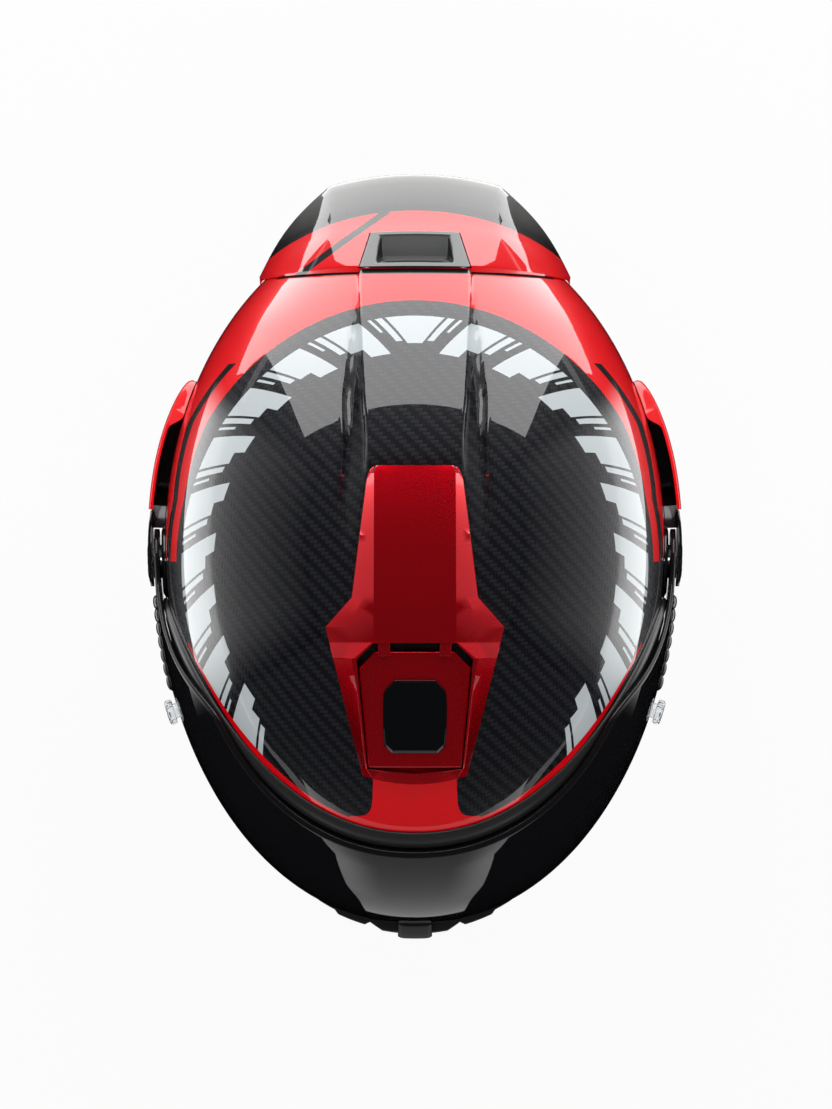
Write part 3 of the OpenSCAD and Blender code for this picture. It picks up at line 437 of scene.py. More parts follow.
# %% Lines of the shell
PORT_Z, PORT_H, PORT_END = 157, 100, 79
RIM_LIFT, TRIM_UNDER = 12, 2.2
BAND_EDGE = [(-13, 29), (10, 26.5), (30, 24.2), (47, 22), (60, 21.8), (77, 23.4), (112, 25), (130, 25.5)]
CHANNEL_WIDE = [(4, 0.3), (12, 7), (30, 12), (47, 12.5), (77, 10.5), (105, 6), (124, 2), (132, 0.3)]
CHANNEL_DEEP = [(4, 0), (20, 2.2), (47, 3.6), (77, 4.3), (105, 3.2), (124, 1.2), (132, 0)]
CREASE_X = [(-90, 66), (-71, 75), (-59, 81), (-11, 93.4), (13, 97.6), (45, 96.5), (71, 91), (88, 86), (125, 68)]


def rim_z(t):
    return TRIM_UNDER + RIM_LIFT * smooth(np.abs(np.sin(np.radians(t))), 0.5, 0.97)


def port_half(s, e=0):
    return (PORT_H / 2 + e) * np.sqrt(np.maximum(0, 1 - np.abs(np.sin(np.radians(s))) ** 4))


def port_t(s, e=0):
    return (PORT_END + e / 3.3) * np.sin(np.radians(s))


def relief(x, y, z):
    """Height of the crown band, its channels and the crease of the shoulder, off the plain form."""
    side = np.abs(x)
    edge = curve(y, BAND_EDGE)
    band = 1.8 * (1 - smooth(side, edge - 1.0, edge + 1.4)) * smooth(y, 38, 50)
    k = (side - edge) / curve(y, CHANNEL_WIDE)
    fall = np.clip((k + 0.06) / 0.8, 0, 1)
    channel = curve(y, CHANNEL_DEEP) * fall * (1 - smooth(k, 0.72, 1.0))
    off = side - curve(y, CREASE_X)
    crease = 1.3 * np.exp(-np.sqrt(off ** 2 + 3) / 11) * smooth(z, 160, 185)
    crease *= smooth(y, -100, -70) * (1 - smooth(y, 110, 130))
    return band - channel + crease


def slices():
    """Places of the cuts from ear to ear, close together along the crown band's channels."""
    close = np.degrees(np.arcsin(np.linspace(16, 37, 20) / (SHELL_W / 2)))
    half = np.concatenate([np.linspace(0, close[0], 5)[:-1], close, np.linspace(close[-1], 89.6, 34)[1:]])
    angles = np.concatenate([-half[::-1], half[1:]])
    return SHELL_W / 2 * np.sin(np.radians(angles))


CUTS = slices()


def slice_round(u, v):
    """The shell's surface for u across the slices and v round one, from under the chin."""
    x = np.interp(u, np.linspace(0, 1, len(CUTS)), CUTS)
    a = np.radians(360 * v - 90)
    dy, dz = -np.cos(a), np.sin(a)
    low, high = np.zeros_like(x), np.full_like(x, 260.0)
    for _ in range(30):
        r = (low + high) / 2
        inside = (fullness(x, CROWN_Y + r * dy, WAIST_Z + r * dz) < 1) & (WAIST_Z + r * dz < SHELL_H)
        low, high = np.where(inside, r, low), np.where(inside, high, r)
    return x, CROWN_Y + low * dy, WAIST_Z + low * dz


def angle_of(x, y, z):
    """The angle t round the helmet of a point on the shell."""
    half = front_power(z) / 2
    front = y < CROWN_Y
    p = np.where(front, half, 1.0)
    reach = np.where(front, front_at(z), back_at(z))
    across = np.clip(np.abs(x) / half_width(z), 0, 1) ** p
    along = np.clip(np.abs(y - CROWN_Y) / reach, 0, 1) ** p
    return np.degrees(np.arctan2(across * np.sign(x), np.where(front, along, -along)))


print(len(CUTS), "slices")

# %% Shell mesh
def gradient(x, y, z, step=0.3):
    n = stack(fullness(x + step, y, z) - fullness(x - step, y, z),
              fullness(x, y + step, z) - fullness(x, y - step, z),
              fullness(x, y, z + step) - fullness(x, y, z - step))
    return n / np.maximum(np.linalg.norm(n, axis=-1, keepdims=True), 1e-9)


def shell_place(u, v):
    x, y, z = slice_round(u, v)
    n = gradient(x, y, np.minimum(z, SHELL_H - 0.6))
    return stack(x, y, z) + relief(x, y, z)[:, None] * n


shell = weld(lay(grid(len(CUTS) - 1, 288), shell_place), 0.00001)
port = skin(port_t(np.linspace(0, 360, 721)), PORT_Z + np.sign(np.cos(np.radians(np.linspace(0, 360, 721))))
            * port_half(np.linspace(0, 360, 721)), 0.0)


def port_distance(points, t):
    """Millimetres from the outline of the eye port, negative inside it."""
    away = np.min(np.linalg.norm(points[:, None, :] - port[None, ::3, :], axis=-1), axis=1)
    s = np.degrees(np.arcsin(np.clip(t / PORT_END, -1, 1)))
    inside = (np.abs(t) < PORT_END) & (np.abs(points[:, 2] - PORT_Z) < port_half(s))
    return np.where(inside, -away, away)


points = np.array([v.co for v in shell.verts]) / MM
turned = angle_of(*points.T)
brow = np.concatenate([port_distance(points[i:i + 4000], turned[i:i + 4000]) for i in range(0, len(points), 4000)])
open_verts = [v for v, b, p, t in zip(shell.verts, brow, points, turned) if b < 0.9 or p[2] < rim_z(t) + 0.8]
bmesh.ops.delete(shell, geom=open_verts, context="VERTS")
print("shell cut open,", len(shell.faces), "faces left")

# %% [markdown]
# The paint scheme needs two numbers that the shader can't work out for itself: how far a spot
# is from the eye port, and how far round the crown's ellipse it lies. Both are stored on the
# vertices. They change slowly, so even a coarse mesh gives crisp paint edges.

# %% Numbers for the paint
def ring_number(p, t):
    """1 on the ellipse between dome and flanks, growing down the side walls."""
    wide = on_shell(t, 150.0)
    x = np.where(p[:, 2] < 150, wide[:, 0], p[:, 0])
    y = np.where(p[:, 2] < 150, wide[:, 1], p[:, 1])
    return np.hypot(x / 115.7, y / 122.8) + np.maximum(0, 150 - p[:, 2]) / 100


def store(bm, name, values):
    layer = bm.verts.layers.float.new(name)
    for vert, value in zip(bm.verts, values):
        vert[layer] = value


def store_shell_numbers(bm):
    p = np.array([v.co for v in bm.verts]) / MM
    t = angle_of(*p.T)
    store(bm, "ring", ring_number(p, t))
    store(bm, "brow", np.concatenate([port_distance(p[i:i + 4000], t[i:i + 4000]) for i in range(0, len(p), 4000)]))


def weave_map(bm):
    """Spreads the cloth from the crown outwards, as it is laid into the mould."""
    uv = bm.loops.layers.uv["weave"]
    for face in bm.faces:
        for loop in face.loops:
            p = loop.vert.co
            flat = Vector((p.x, p.y - 0.013))
            arc = 0.15 * math.atan2(flat.length, p.z - 0.11)
            loop[uv].uv = flat.normalized() * arc if flat.length > 1e-6 else (0, 0)


store_shell_numbers(shell)
weave_map(shell)
finish_piece(shell, "shell_painted", "shell", CARBON, ["outer_shell"], sharp=60, wall=SHELL_T)

# %% [markdown]
# ## Lofting a piece
#
# The trims, the visor and the covers are all lofts: a short row of stops is worked out at each
# place along the piece, and the mesh runs straight from stop to stop. A loft keeps the sharp
# lines of a moulded part exactly where the mould has them, and a small bevel rounds them.

# %% Loft
SEAT = 0.3


def through(v, stops):
    """Straight from stop to stop while v goes from 0 to 1; a stop is one point for each vertex."""
    stops = np.stack(np.broadcast_arrays(*stops))
    at = np.clip(v, 0, 1) * (len(stops) - 1)
    low = np.minimum(at.astype(int), len(stops) - 2)
    pick = np.arange(len(v))
    return mix(stops[low, pick], stops[low + 1, pick], (at - low)[:, None])


def loft(cols, stops_at, parts=1, wide=1.0, high=1.0):
    """A welded grid along the stops of stops_at(u), with parts faces from one stop to the next."""
    count = len(stops_at(np.zeros(1)))
    bm = lay(grid(cols, parts * (count - 1), wide, high), lambda u, v: through(v, stops_at(u)))
    return weld(bm)


def closed(bm):
    """Fills the open ends and turns the faces outwards."""
    edges = [edge for edge in bm.edges if edge.is_boundary]
    if edges:
        bmesh.ops.holes_fill(bm, edges=edges, sides=0)
    bmesh.ops.recalc_face_normals(bm, faces=bm.faces)
    return bm


def at_height(points, z):
    return stack(points[:, 0], points[:, 1], z)


# %% [markdown]
# ## Rubber at the edges of the shell
#
# The cut edge of a shell is never left bare. A channel of rubber is pushed over the neck rim,
# and a thicker beading round the eye port presses against the visor, to keep out water. Both
# are one profile led along an edge, so both are lofts whose row of stops comes back to its
# start.

# %% Rubber finish
def rubber(name, shade=0.02, roughness=0.5):
    f = Finish(name, (shade, shade, shade * 1.05), roughness, Specular_IOR_Level=0.45)
    grain = f.noise(900.0, 2.0)
    f.bump(grain, 0.00008, 0.35)
    f.roughness(grain * 0.16 + (roughness - 0.08))
    return f.material


RIM_RUBBER = rubber("rim_rubber")
BEADING_RUBBER = rubber("beading_rubber", 0.018, 0.36)

# %% Neck trim
TRIM_LIP, TRIM_RISE = 1.3, 9
TRIM_OUT = SEAT + TRIM_LIP
TRIM_IN = -SHELL_T - SEAT - TRIM_LIP


def trim_stops(u):
    t = 360 * u
    rim = rim_z(t)

    def row(d, up):
        return skin(t, rim + up, d)

    def foot(d, down):
        z = rim - down
        lean = skin(t, z, 1.0)[:, 2] - z
        return at_height(skin(t, z - d * lean, d), z)
    outside = [foot(TRIM_OUT - 0.5, TRIM_UNDER), foot(TRIM_OUT, TRIM_UNDER - 0.6), row(TRIM_OUT, 3),
               row(TRIM_OUT, TRIM_RISE - 0.7), row(TRIM_OUT - 0.6, TRIM_RISE)]
    inside = [row(TRIM_IN + 0.6, TRIM_RISE), row(TRIM_IN, TRIM_RISE - 0.7), row(TRIM_IN, 3),
              foot(TRIM_IN, TRIM_UNDER - 0.6), foot(TRIM_IN + 0.5, TRIM_UNDER)]
    channel = [row(SEAT, TRIM_RISE), foot(SEAT, SEAT), foot(-SHELL_T - SEAT, SEAT), row(-SHELL_T - SEAT, TRIM_RISE)]
    return outside + channel + inside + outside[:1]


finish_piece(closed(loft(200, trim_stops)), "neck_trim", "shell", RIM_RUBBER, ["edge_trim"], sharp=50)

# %% Beading of the eye port
VISOR_GAP, VISOR_T = 3.2, 2.2
VISOR_OUT = VISOR_GAP + VISOR_T
BEAD_TOP = VISOR_GAP - 0.8


def beading_stops(u):
    upper = u < 0.5
    s = np.where(upper, 90 - 360 * u, 360 * u - 270)
    full = mix(np.where(upper, 13.0, 9.0), 10.0, np.abs(np.sin(np.radians(s))) ** 3)
    side = np.where(upper, 1.0, -1.0)

    def at(share, beyond, d):
        e = full * share + beyond
        return skin(port_t(s, e), PORT_Z + side * port_half(s, e), d)
    bead = [at(1, 0, SEAT), at(1, 0, 0.8), at(0.97, 0, 1.5), at(0.9, 0, 2.1), at(0.8, 0, BEAD_TOP),
            at(0.66, 0, BEAD_TOP), at(0.55, 0, 2.1), at(0.48, 0, 1.5), at(0.42, 0, 1.25)]
    lip = [at(0.18, 0, 1.25), at(0.1, 0, 1.7), at(0, -0.6, 1.9), at(0, -SEAT - 1.2, 1.5),
           at(0, -SEAT - 1.2, -SHELL_T), at(0, -SEAT, -SHELL_T), at(0, -SEAT, SEAT), at(0.5, 0, SEAT)]
    return bead + lip + bead[:1]


finish_piece(closed(loft(220, beading_stops)), "port_beading_smooth", "shell",
             BEADING_RUBBER, ["port_beading"], sharp=50)

# %% [markdown]
# ## Visor
#
# The visor is injection moulded polycarbonate, tinted nearly black and hard-coated. It is a
# sheet bent over the shell, so it starts as a grid and gets its thickness from Solidify. Its
# two arms end in half circles round the pivots, with a bore for the boss.

# %% Angles on the shell
PIVOT_Y, PIVOT_Z, PIVOT_R = 3, 152, 8
ARM_R, VISOR_UP, VISOR_DOWN = 15.5, 61.5, 56


def angle_at(y, z):
    """Angle t at which the shell at height z reaches the distance y."""
    y, z = np.broadcast_arrays(np.asarray(y, float), np.asarray(z, float))
    ahead = np.clip((CROWN_Y - y) / front_at(z), 0, 1) ** (front_power(z) / 2)
    behind = np.clip((y - CROWN_Y) / back_at(z), -1, 1)
    return np.where(y < CROWN_Y, np.degrees(np.arccos(ahead)), 90 + np.degrees(np.arcsin(behind)))


def front_angle(x, z):
    """Angle t at which the front of the shell is x from the middle."""
    return np.degrees(np.arcsin((x / half_width(z)) ** (front_power(z) / 2)))


ARM_T = float(angle_at(PIVOT_Y, PIVOT_Z))
print("the arms reach to", round(ARM_T, 1), "degrees")

# %% Visor sheet
END_SHARE = 0.9


def visor_column(u):
    """Angle, height over the pivot and depth under it, for the share u from arm to arm."""
    s = np.abs(2 * u - 1)
    t = ARM_T * np.minimum(s / END_SHARE, 1)
    fade = 1 - smooth(t, 55, 88)
    turn = 90 * np.clip((s - END_SHARE) / (1 - END_SHARE), 0, 1)
    past = s > END_SHARE
    t = np.where(past, angle_at(PIVOT_Y + ARM_R * np.sin(np.radians(turn)), PIVOT_Z), t)
    end = ARM_R * np.cos(np.radians(turn))
    up = np.where(past, end, ARM_R + (VISOR_UP - ARM_R) * fade)
    down = np.where(past, end, ARM_R + (VISOR_DOWN - ARM_R) * fade)
    return t * np.sign(2 * u - 1), up, down


def visor_place(u, v):
    t, up, down = visor_column(u)
    return skin(t, PIVOT_Z + mix(-down, up, v), VISOR_OUT)


def cut_bores(bm, radius):
    """Opens the sheet round both pivots and draws the cut edge onto a circle."""
    def off_pivot(vert):
        return Vector((0, vert.co.y - PIVOT_Y * MM, vert.co.z - PIVOT_Z * MM))
    inside = [v for v in bm.verts if abs(v.co.x) > 0.1 and off_pivot(v).length < radius * MM]
    bmesh.ops.delete(bm, geom=inside, context="VERTS")
    for vert in bm.verts:
        off = off_pivot(vert)
        if vert.is_boundary and abs(vert.co.x) > 0.1 and off.length < (radius + 2.5) * MM:
            vert.co += off.normalized() * radius * MM - off
    return bm


SMOKE = Finish("smoke_polycarbonate", (0.012, 0.012, 0.014), 0.03, Transmission_Weight=0.5, IOR=1.45,
               Specular_IOR_Level=0.3).material
visor = cut_bores(weld(lay(grid(180, 44), visor_place)), PIVOT_R + 0.1)
finish_piece(visor, "visor_smooth", "visor", SMOKE, ["visor"], sharp=60, wall=VISOR_T)

# %% [markdown]
# ## Small pieces of the visor
#
# The tab at its foot holds the lock, the ribbed strips stiffen its arms, and the two clear
# knobs hold tear-off films, which a racer pulls away when they are dirty.

# %% Plastics
def plastic(name, color, roughness, grain=0.0, **sockets):
    f = Finish(name, color, roughness, **sockets)
    if grain:
        texture = f.noise(1400.0, 2.0)
        f.bump(texture, 0.00006, grain)
        f.roughness(texture * 0.12 + (roughness - 0.06))
    return f.material


SATIN_BLACK = plastic("satin_black_plastic", (0.010, 0.010, 0.011), 0.42, 0.25)
GLOSS_BLACK = plastic("gloss_black_plastic", (0.006, 0.006, 0.007), 0.2, 0.0, Coat_Weight=0.4)
CLEAR = plastic("clear_plastic", (0.93, 0.95, 0.97), 0.08, 0.0, Transmission_Weight=0.8, IOR=1.49)

# %% Lock tab
TAB_OUT, TAB_HALF, TAB_H = 12.7, 7.4, 14
TAB_Z = PIVOT_Z - VISOR_DOWN - 2.8


def tab_stops(u):
    t = front_angle(np.abs(2 * u - 1) * TAB_HALF, TAB_Z) * np.sign(2 * u - 1)
    ease = 0.9 * np.abs(2 * u - 1) ** 8

    def at(k, out):
        return skin(t, TAB_Z + TAB_H * k, out - ease)
    back = [skin(t, TAB_Z + TAB_H * k, VISOR_OUT + 0.12) for k in (1, 0.5, 0)]
    face = [at(0, TAB_OUT - 1.6), at(0.05, TAB_OUT - 0.4), at(0.14, TAB_OUT + 0.2), at(0.45, TAB_OUT + 0.2),
            at(0.56, TAB_OUT - 0.3), at(0.72, TAB_OUT - 2.5), at(0.95, VISOR_OUT + 2.0), at(1, VISOR_OUT + 1.2)]
    return back + face + back[:1]


finish_piece(closed(loft(16, tab_stops)), "visor_tab_smooth", "visor", SATIN_BLACK,
             ["visor_tab"], sharp=35, rounding=0.25)


# %% Tear-off posts
POST_T, POST_Z, POST_R, POST_H, POST_NECK = 64.5, 148, 6, 5.5, 1.8


def stand_on(bm, t, z, d):
    """Carries a piece that stands on +Z to the shell at angle t and height z."""
    foot = Vector(skin(t, z, d) * MM)
    out = Vector(skin(t, z, 1.0) - skin(t, z, 0.0))
    turn = out.to_track_quat("Z", "Y").to_matrix().to_4x4()
    bmesh.ops.transform(bm, matrix=Matrix.Translation(foot) @ turn, verts=bm.verts)
    return bm


def tear_off_post():
    """A turned knob with finger notches round its head and a cone sunk in its top."""
    outline = [(0, 0), (3.6, 0), (3.6, POST_NECK), (5.6, POST_NECK + 0.2), (POST_R, POST_NECK + 0.9),
               (POST_R, POST_H - 0.9), (5.4, POST_H - 0.2), (4.4, POST_H), (3.2, POST_H - 0.3),
               (2.2, POST_H - 1.2), (0, POST_H - 1.5)]
    bm = bmesh.new()
    verts = [bm.verts.new((r * MM, 0, z * MM)) for r, z in outline]
    edges = [bm.edges.new(pair) for pair in zip(verts, verts[1:])]
    bmesh.ops.spin(bm, geom=verts + edges, cent=(0, 0, 0), axis=(0, 0, 1), angle=math.tau, steps=72,
                   use_merge=True, use_duplicate=False)
    weld(bm)
    for vert in bm.verts:
        r = math.hypot(vert.co.x, vert.co.y)
        if r > 4.2 * MM:
            notch = max(0, math.cos(9 * math.atan2(vert.co.y, vert.co.x))) ** 3
            vert.co.x *= 1 - 0.1 * notch
            vert.co.y *= 1 - 0.1 * notch
    return closed(bm)


for name, side in (("left", 1), ("right", -1)):
    post = stand_on(tear_off_post(), POST_T, POST_Z, VISOR_OUT + 0.1)
    post.loops.layers.uv.new("weave")
    if side < 0:
        mirrored(post)
    finish_piece(post, "tear_off_post_" + name, "visor", CLEAR,
                 ["tear_off_posts"] if side > 0 else (), sharp=35)

# %% Arm trims
TRIM_FRONT, TRIM_BACK, RIBS = PIVOT_Y - 60, PIVOT_Y - 16, 7


def arm_trim_stops(u):
    t = angle_at(mix(TRIM_FRONT, TRIM_BACK, u), PIVOT_Z)
    half = 11 * mix(0.55, 1, smooth(u, 0, 1))
    rib = 0.75 + 0.95 * np.abs(np.sin(np.pi * RIBS * u)) ** 0.6
    rib *= smooth(np.minimum(u, 1 - u), -0.02, 0.02)

    def at(v, d):
        return skin(t, PIVOT_Z - 4 + v * half, VISOR_OUT + 0.1 + d)
    top = [at(v, rib * k + 0.1) for v, k in ((-1, 0.15), (-0.93, 0.55), (-0.8, 0.9), (-0.6, 1), (-0.2, 1.03),
                                             (0.2, 1.03), (0.6, 1), (0.8, 0.9), (0.93, 0.55), (1, 0.15))]
    return [at(-1, 0)] + top + [at(1, 0), at(0, 0), at(-1, 0)]


for name, side in (("left", 1), ("right", -1)):
    trim = closed(loft(112, arm_trim_stops))
    if side < 0:
        mirrored(trim)
    finish_piece(trim, "arm_trim_ribbed_" + name, "visor", GLOSS_BLACK, ["arm_trim_" + name], sharp=50)

# %% [markdown]
# ## Pivot covers
#
# A cover snaps over each pivot. It is round in front and drawn out to a point behind, with a
# ridge along it and a raised loop for the thumb that turns it off. The loop is a ring standing
# on the cover, so it is a term of the height in the loft.

# %% Covers
COVER_LOW, COVER_T, COVER_FRONT, COVER_BACK = VISOR_OUT + 1.3, 1.3, 11.5, 24


def cover_stops(u):
    s = 2 * u - 1
    y = PIVOT_Y + np.where(s < 0, COVER_FRONT, COVER_BACK) * s
    t = angle_at(y, PIVOT_Z)
    half = 15 * np.maximum(0.012, 1.02 - np.abs(s) ** 2.2) ** 0.6
    fall = 0.9 * np.abs(s) ** 3

    def at(v, d):
        return skin(t, PIVOT_Z + half * v, COVER_LOW + d)

    def top(v):
        ring = np.hypot(y - PIVOT_Y, half * v)
        loop = 0.75 * np.exp(-((ring - 7.4) / 1.1) ** 2)
        ridge = 0.7 * max(0.0, 1 - abs(v) / 0.12)
        return at(v, COVER_T - fall - 0.9 * abs(v) ** 3 + np.maximum(ridge, loop))
    across = np.linspace(-1, 1, 33)
    return [at(-1, 0)] + [top(v) for v in across] + [at(1, 0), at(0, 0), at(-1, 0)]


def cover_tail_stops(u):
    """The solid point behind the visor's round end, from the shell up to the cover."""
    y = PIVOT_Y + mix(ARM_R + 0.5, COVER_BACK + 2.4, u)
    t = angle_at(y, PIVOT_Z)
    half = 14.4 * np.maximum(0.05, 1.02 - ((y - PIVOT_Y) / (COVER_BACK + 2.4)) ** 3) ** 0.6
    ends = [skin(t, PIVOT_Z + half * v, d) for v, d in ((-1, 0.5), (-1, 5), (-0.9, COVER_LOW + 0.4),
                                                       (0.3, COVER_LOW + 0.4), (0.36, 5), (0.36, 0.5))]
    return ends + ends[:1]


def washer_stops(u):
    """A flat ring between the shell and the visor's round end."""
    def at(r, d):
        y, z = PIVOT_Y + r * np.cos(math.tau * u), PIVOT_Z + r * np.sin(math.tau * u)
        return skin(angle_at(y, z), z, d)
    return [at(17.4, 0.4), at(17.4, 0.9), at(15.2, 1.9), at(9, 1.9), at(9, 0.4), at(17.4, 0.4)]


def joined(first, second):
    """Adds the second mesh to the first as loose parts."""
    mesh = bpy.data.meshes.new("part")
    second.to_mesh(mesh)
    second.free()
    first.from_mesh(mesh)
    bpy.data.meshes.remove(mesh)
    return first


for name, side in (("left", 1), ("right", -1)):
    cover = joined(closed(loft(64, cover_stops)), closed(loft(8, cover_tail_stops, 2)))
    joined(cover, closed(loft(48, washer_stops)))
    if side < 0:
        mirrored(cover)
    finish_piece(cover, "pivot_cover_smooth_" + name, "shell", GLOSS_BLACK,
                 ["pivot_cover_" + name], sharp=40)

# %% [markdown]
# ## Top vent
#
# The housing is a low moulded shell in metallic red. Its crest is flat across and its sides
# fold down in plain facets, which widen to shoulders beside the shutter. Two lines in plan, the
# crest's and the foot's, say nearly all of it. Both sides are strips from the opening to the
# foot, so the opening's wall comes with the strip and needs no cut.

# %% Metallic and clear-coated reds
def lacquer(name, color, metal=0.0, roughness=0.35, coat=1.0):
    f = Finish(name, color, roughness, Metallic=metal, Specular_IOR_Level=0.12, Coat_Weight=coat,
               Coat_Roughness=0.02, Coat_IOR=1.5)
    if metal:
        flake = f.noise(5200.0, 1.0)
        f.bump(flake, 0.00001, 0.15)
    return f.material


DEEP_RED = lacquer("deep_red_metallic", (0.80, 0.0, 0.010), 0.85, 0.27)

# %% Housing
VENT_L, VENT_W, VENT_H = 141, 41, 9
VENT_BACK = CROWN_Y + 33.4
VENT_CREST = [(-94.6, 19.5), (-91, 20.5), (-40.5, 28.5), (-33, 18.6), (43, 18.4), (45.4, 17.6), (46.4, 16.2)]
VENT_FOOT = [(-94.6, 23.7), (-26.5, 40.3), (-13, 28.4), (40, 21.7), (43, 20.9), (45.4, 19.3), (46.4, 17.6)]
VENT_RISE = [(-94.6, 3.8), (-88, 5.6), (-72, 7.2), (-48, 8.7), (-19, 9), (7, 7.9), (27, 6.8), (46.4, 5.6)]
SHUTTER_BACK, SHUTTER_FRONT, SHUTTER_CORNER = 0.595, 0.97, 7.5
SLIDE_GAP, VENT_TRAVEL = 0.4, 3.6


def vent_y(k):
    return VENT_BACK - VENT_L * k


def shutter_half(k):
    return VENT_W * mix(0.63, 0.52, (k - SHUTTER_BACK) / (SHUTTER_FRONT - SHUTTER_BACK))


WELL_BACK = vent_y(SHUTTER_BACK) + VENT_TRAVEL + SLIDE_GAP
WELL_FRONT = vent_y(SHUTTER_FRONT) - SLIDE_GAP
WELL_WIDE = [(WELL_FRONT, shutter_half(SHUTTER_FRONT) + SLIDE_GAP),
             (WELL_BACK - SHUTTER_CORNER, shutter_half(SHUTTER_BACK) + SLIDE_GAP),
             (WELL_BACK, shutter_half(SHUTTER_BACK) + SLIDE_GAP - SHUTTER_CORNER)]


def stations():
    """Places along the housing: every break of its lines, and steps of 3 mm between them."""
    breaks = sorted({y for line in (VENT_CREST, VENT_FOOT, WELL_WIDE) for y, _ in line})
    ys = [y for a, b in zip(breaks, breaks[1:]) for y in np.linspace(a, b, max(2, round((b - a) / 3)))[:-1]]
    ys = np.array(ys + [breaks[-1]])
    split = np.concatenate([ys[ys < WELL_FRONT], [WELL_FRONT - 0.001] * 2, ys[(ys >= WELL_FRONT) & (ys <= WELL_BACK)],
                            [WELL_BACK + 0.001] * 2, ys[ys > WELL_BACK]])
    return split


VENT_YS = stations()


def vent_side(u, v):
    """Half of the housing: from the opening's foot over the crest to its own foot."""
    k = np.round(u * (len(VENT_YS) - 1)).astype(int)
    y = VENT_YS[k]
    in_well = (y >= WELL_FRONT) & (y <= WELL_BACK)
    twin = np.concatenate([[False], np.diff(VENT_YS) < 1e-6])
    before = np.concatenate([np.diff(VENT_YS) < 1e-6, [False]])
    wall = np.where(y < 0, twin[k] & (y < WELL_FRONT), False) | (before[k] & (y > WELL_BACK))
    crest, foot, rise = curve(y, VENT_CREST), curve(y, VENT_FOOT), curve(y, VENT_RISE)
    well = np.where(in_well, curve(y, WELL_WIDE), 0.0)
    crest = np.maximum(crest, well + 1.2)
    bow = 3.9 * smooth(-y, 84, 94.6)

    def at(x, d):
        return over_dome(x, y - bow * np.maximum(0, 1 - (x / 24) ** 2), d)
    low = np.where(in_well | wall, 0.5, rise)
    flat = [at(mix(well, crest, share), rise + 0.5 * (1 - share ** 2)) for share in (0, 0.25, 0.5, 0.75, 1)]
    fold = [at(mix(crest, foot, 0.5), mix(rise, 2.2, 0.5)), at(foot, 2.2), at(foot + 0.25, 1.6), at(foot + 0.25, 0.4)]
    return through(v, [at(well, low)] + flat + fold)


def vent_housing():
    whole = bmesh.new()
    for side in (1, -1):
        half = weld(lay(grid(len(VENT_YS) - 1, 9), vent_side), 0.00004)
        if side < 0:
            mirrored(half)
        joined(whole, half)
    weld(whole, 0.00004)
    return whole


def end_walls(bm):
    """Draws the housing's two ends down to the shell."""
    for y, way in ((VENT_BACK, 1), (-98, -1)):
        ends = [e for e in bm.edges if e.is_boundary and all(way * v.co.y > way * (y * MM) - 0.0042
                                                            and v.co.z > 0.2 for v in e.verts)]
        made = bmesh.ops.extrude_edge_only(bm, edges=ends)["geom"]
        for vert in (g for g in made if isinstance(g, bmesh.types.BMVert)):
            x, y_mm = vert.co.x / MM, vert.co.y / MM + way * 0.3
            vert.co = Vector(over_dome(np.array([x]), np.array([y_mm]), 0.4)[0] * MM)
    return weld(bm, 0.00004)


housing = end_walls(vent_housing())
bmesh.ops.recalc_face_normals(housing, faces=housing.faces)
if sum(face.normal.z for face in housing.faces) < 0:
    bmesh.ops.reverse_faces(housing, faces=housing.faces)
finish_piece(housing, "top_vent_housing_smooth", "shell", DEEP_RED, ["top_vent_housing"],
             sharp=9, rounding=0.2)

# %% Shutter
SHUTTER_LOW, SHUTTER_HIGH = 1.2, 6.2


def plate_stops(ys, halves, low, high, bevel, across=13):
    """Stops for a plate that follows the dome; ys and halves are its places and half widths."""
    def stops_at(u):
        y, half = np.interp(u, np.linspace(0, 1, len(ys)), ys), np.interp(u, np.linspace(0, 1, len(ys)), halves)
        top = [over_dome(s * (half - bevel), y, high) for s in np.linspace(-1, 1, across)]
        under = [over_dome(s * half, y, low) for s in np.linspace(1, -1, across)]
        return [over_dome(-half, y, high - bevel)] + top + [over_dome(half, y, high - bevel)] + under + \
            [over_dome(-half, y, high - bevel)]
    return stops_at


def shutter_lines():
    ks = np.concatenate([[0, 0.02], np.linspace(0.14, 1, 16)])
    shares = mix(SHUTTER_BACK, SHUTTER_FRONT, ks)
    halves = shutter_half(shares) - SHUTTER_CORNER * np.maximum(0, 1 - ks / 0.14)
    return vent_y(shares), halves


shutter_ys, shutter_halves = shutter_lines()
finish_piece(closed(loft(34, plate_stops(shutter_ys, shutter_halves, SHUTTER_LOW, SHUTTER_HIGH, 0.7))),
             "shutter_smooth", "vent_shutter", DEEP_RED, ["top_vent_shutter"], sharp=30, rounding=0.3)

# %% Bridges over the opening
def bridge_stops(u):
    x, y = mix(11.2, 16.4, u), WELL_BACK
    low, high = SHUTTER_HIGH + 0.6, curve(y, VENT_RISE) - 0.3
    return [over_dome(x, y + a, d) for a, d in ((1, low), (1, high), (-5.2, high), (-6, high - 0.5), (-6, low), (1, low))]


for name, side in (("left", 1), ("right", -1)):
    bridge = closed(loft(4, bridge_stops))
    if side < 0:
        mirrored(bridge)
    finish_piece(bridge, "vent_bridge_" + name, "shell", DEEP_RED, sharp=30, rounding=0.3)

# %% [markdown]
# The grip of the shutter is a dark plate with cut corners, edged by a bright bevel. It is left
# bare of any sign.

# %% Grip
GRIP_L, GRIP_HALF, GRIP_MID = 33.5, 14.5, vent_y(0.804)


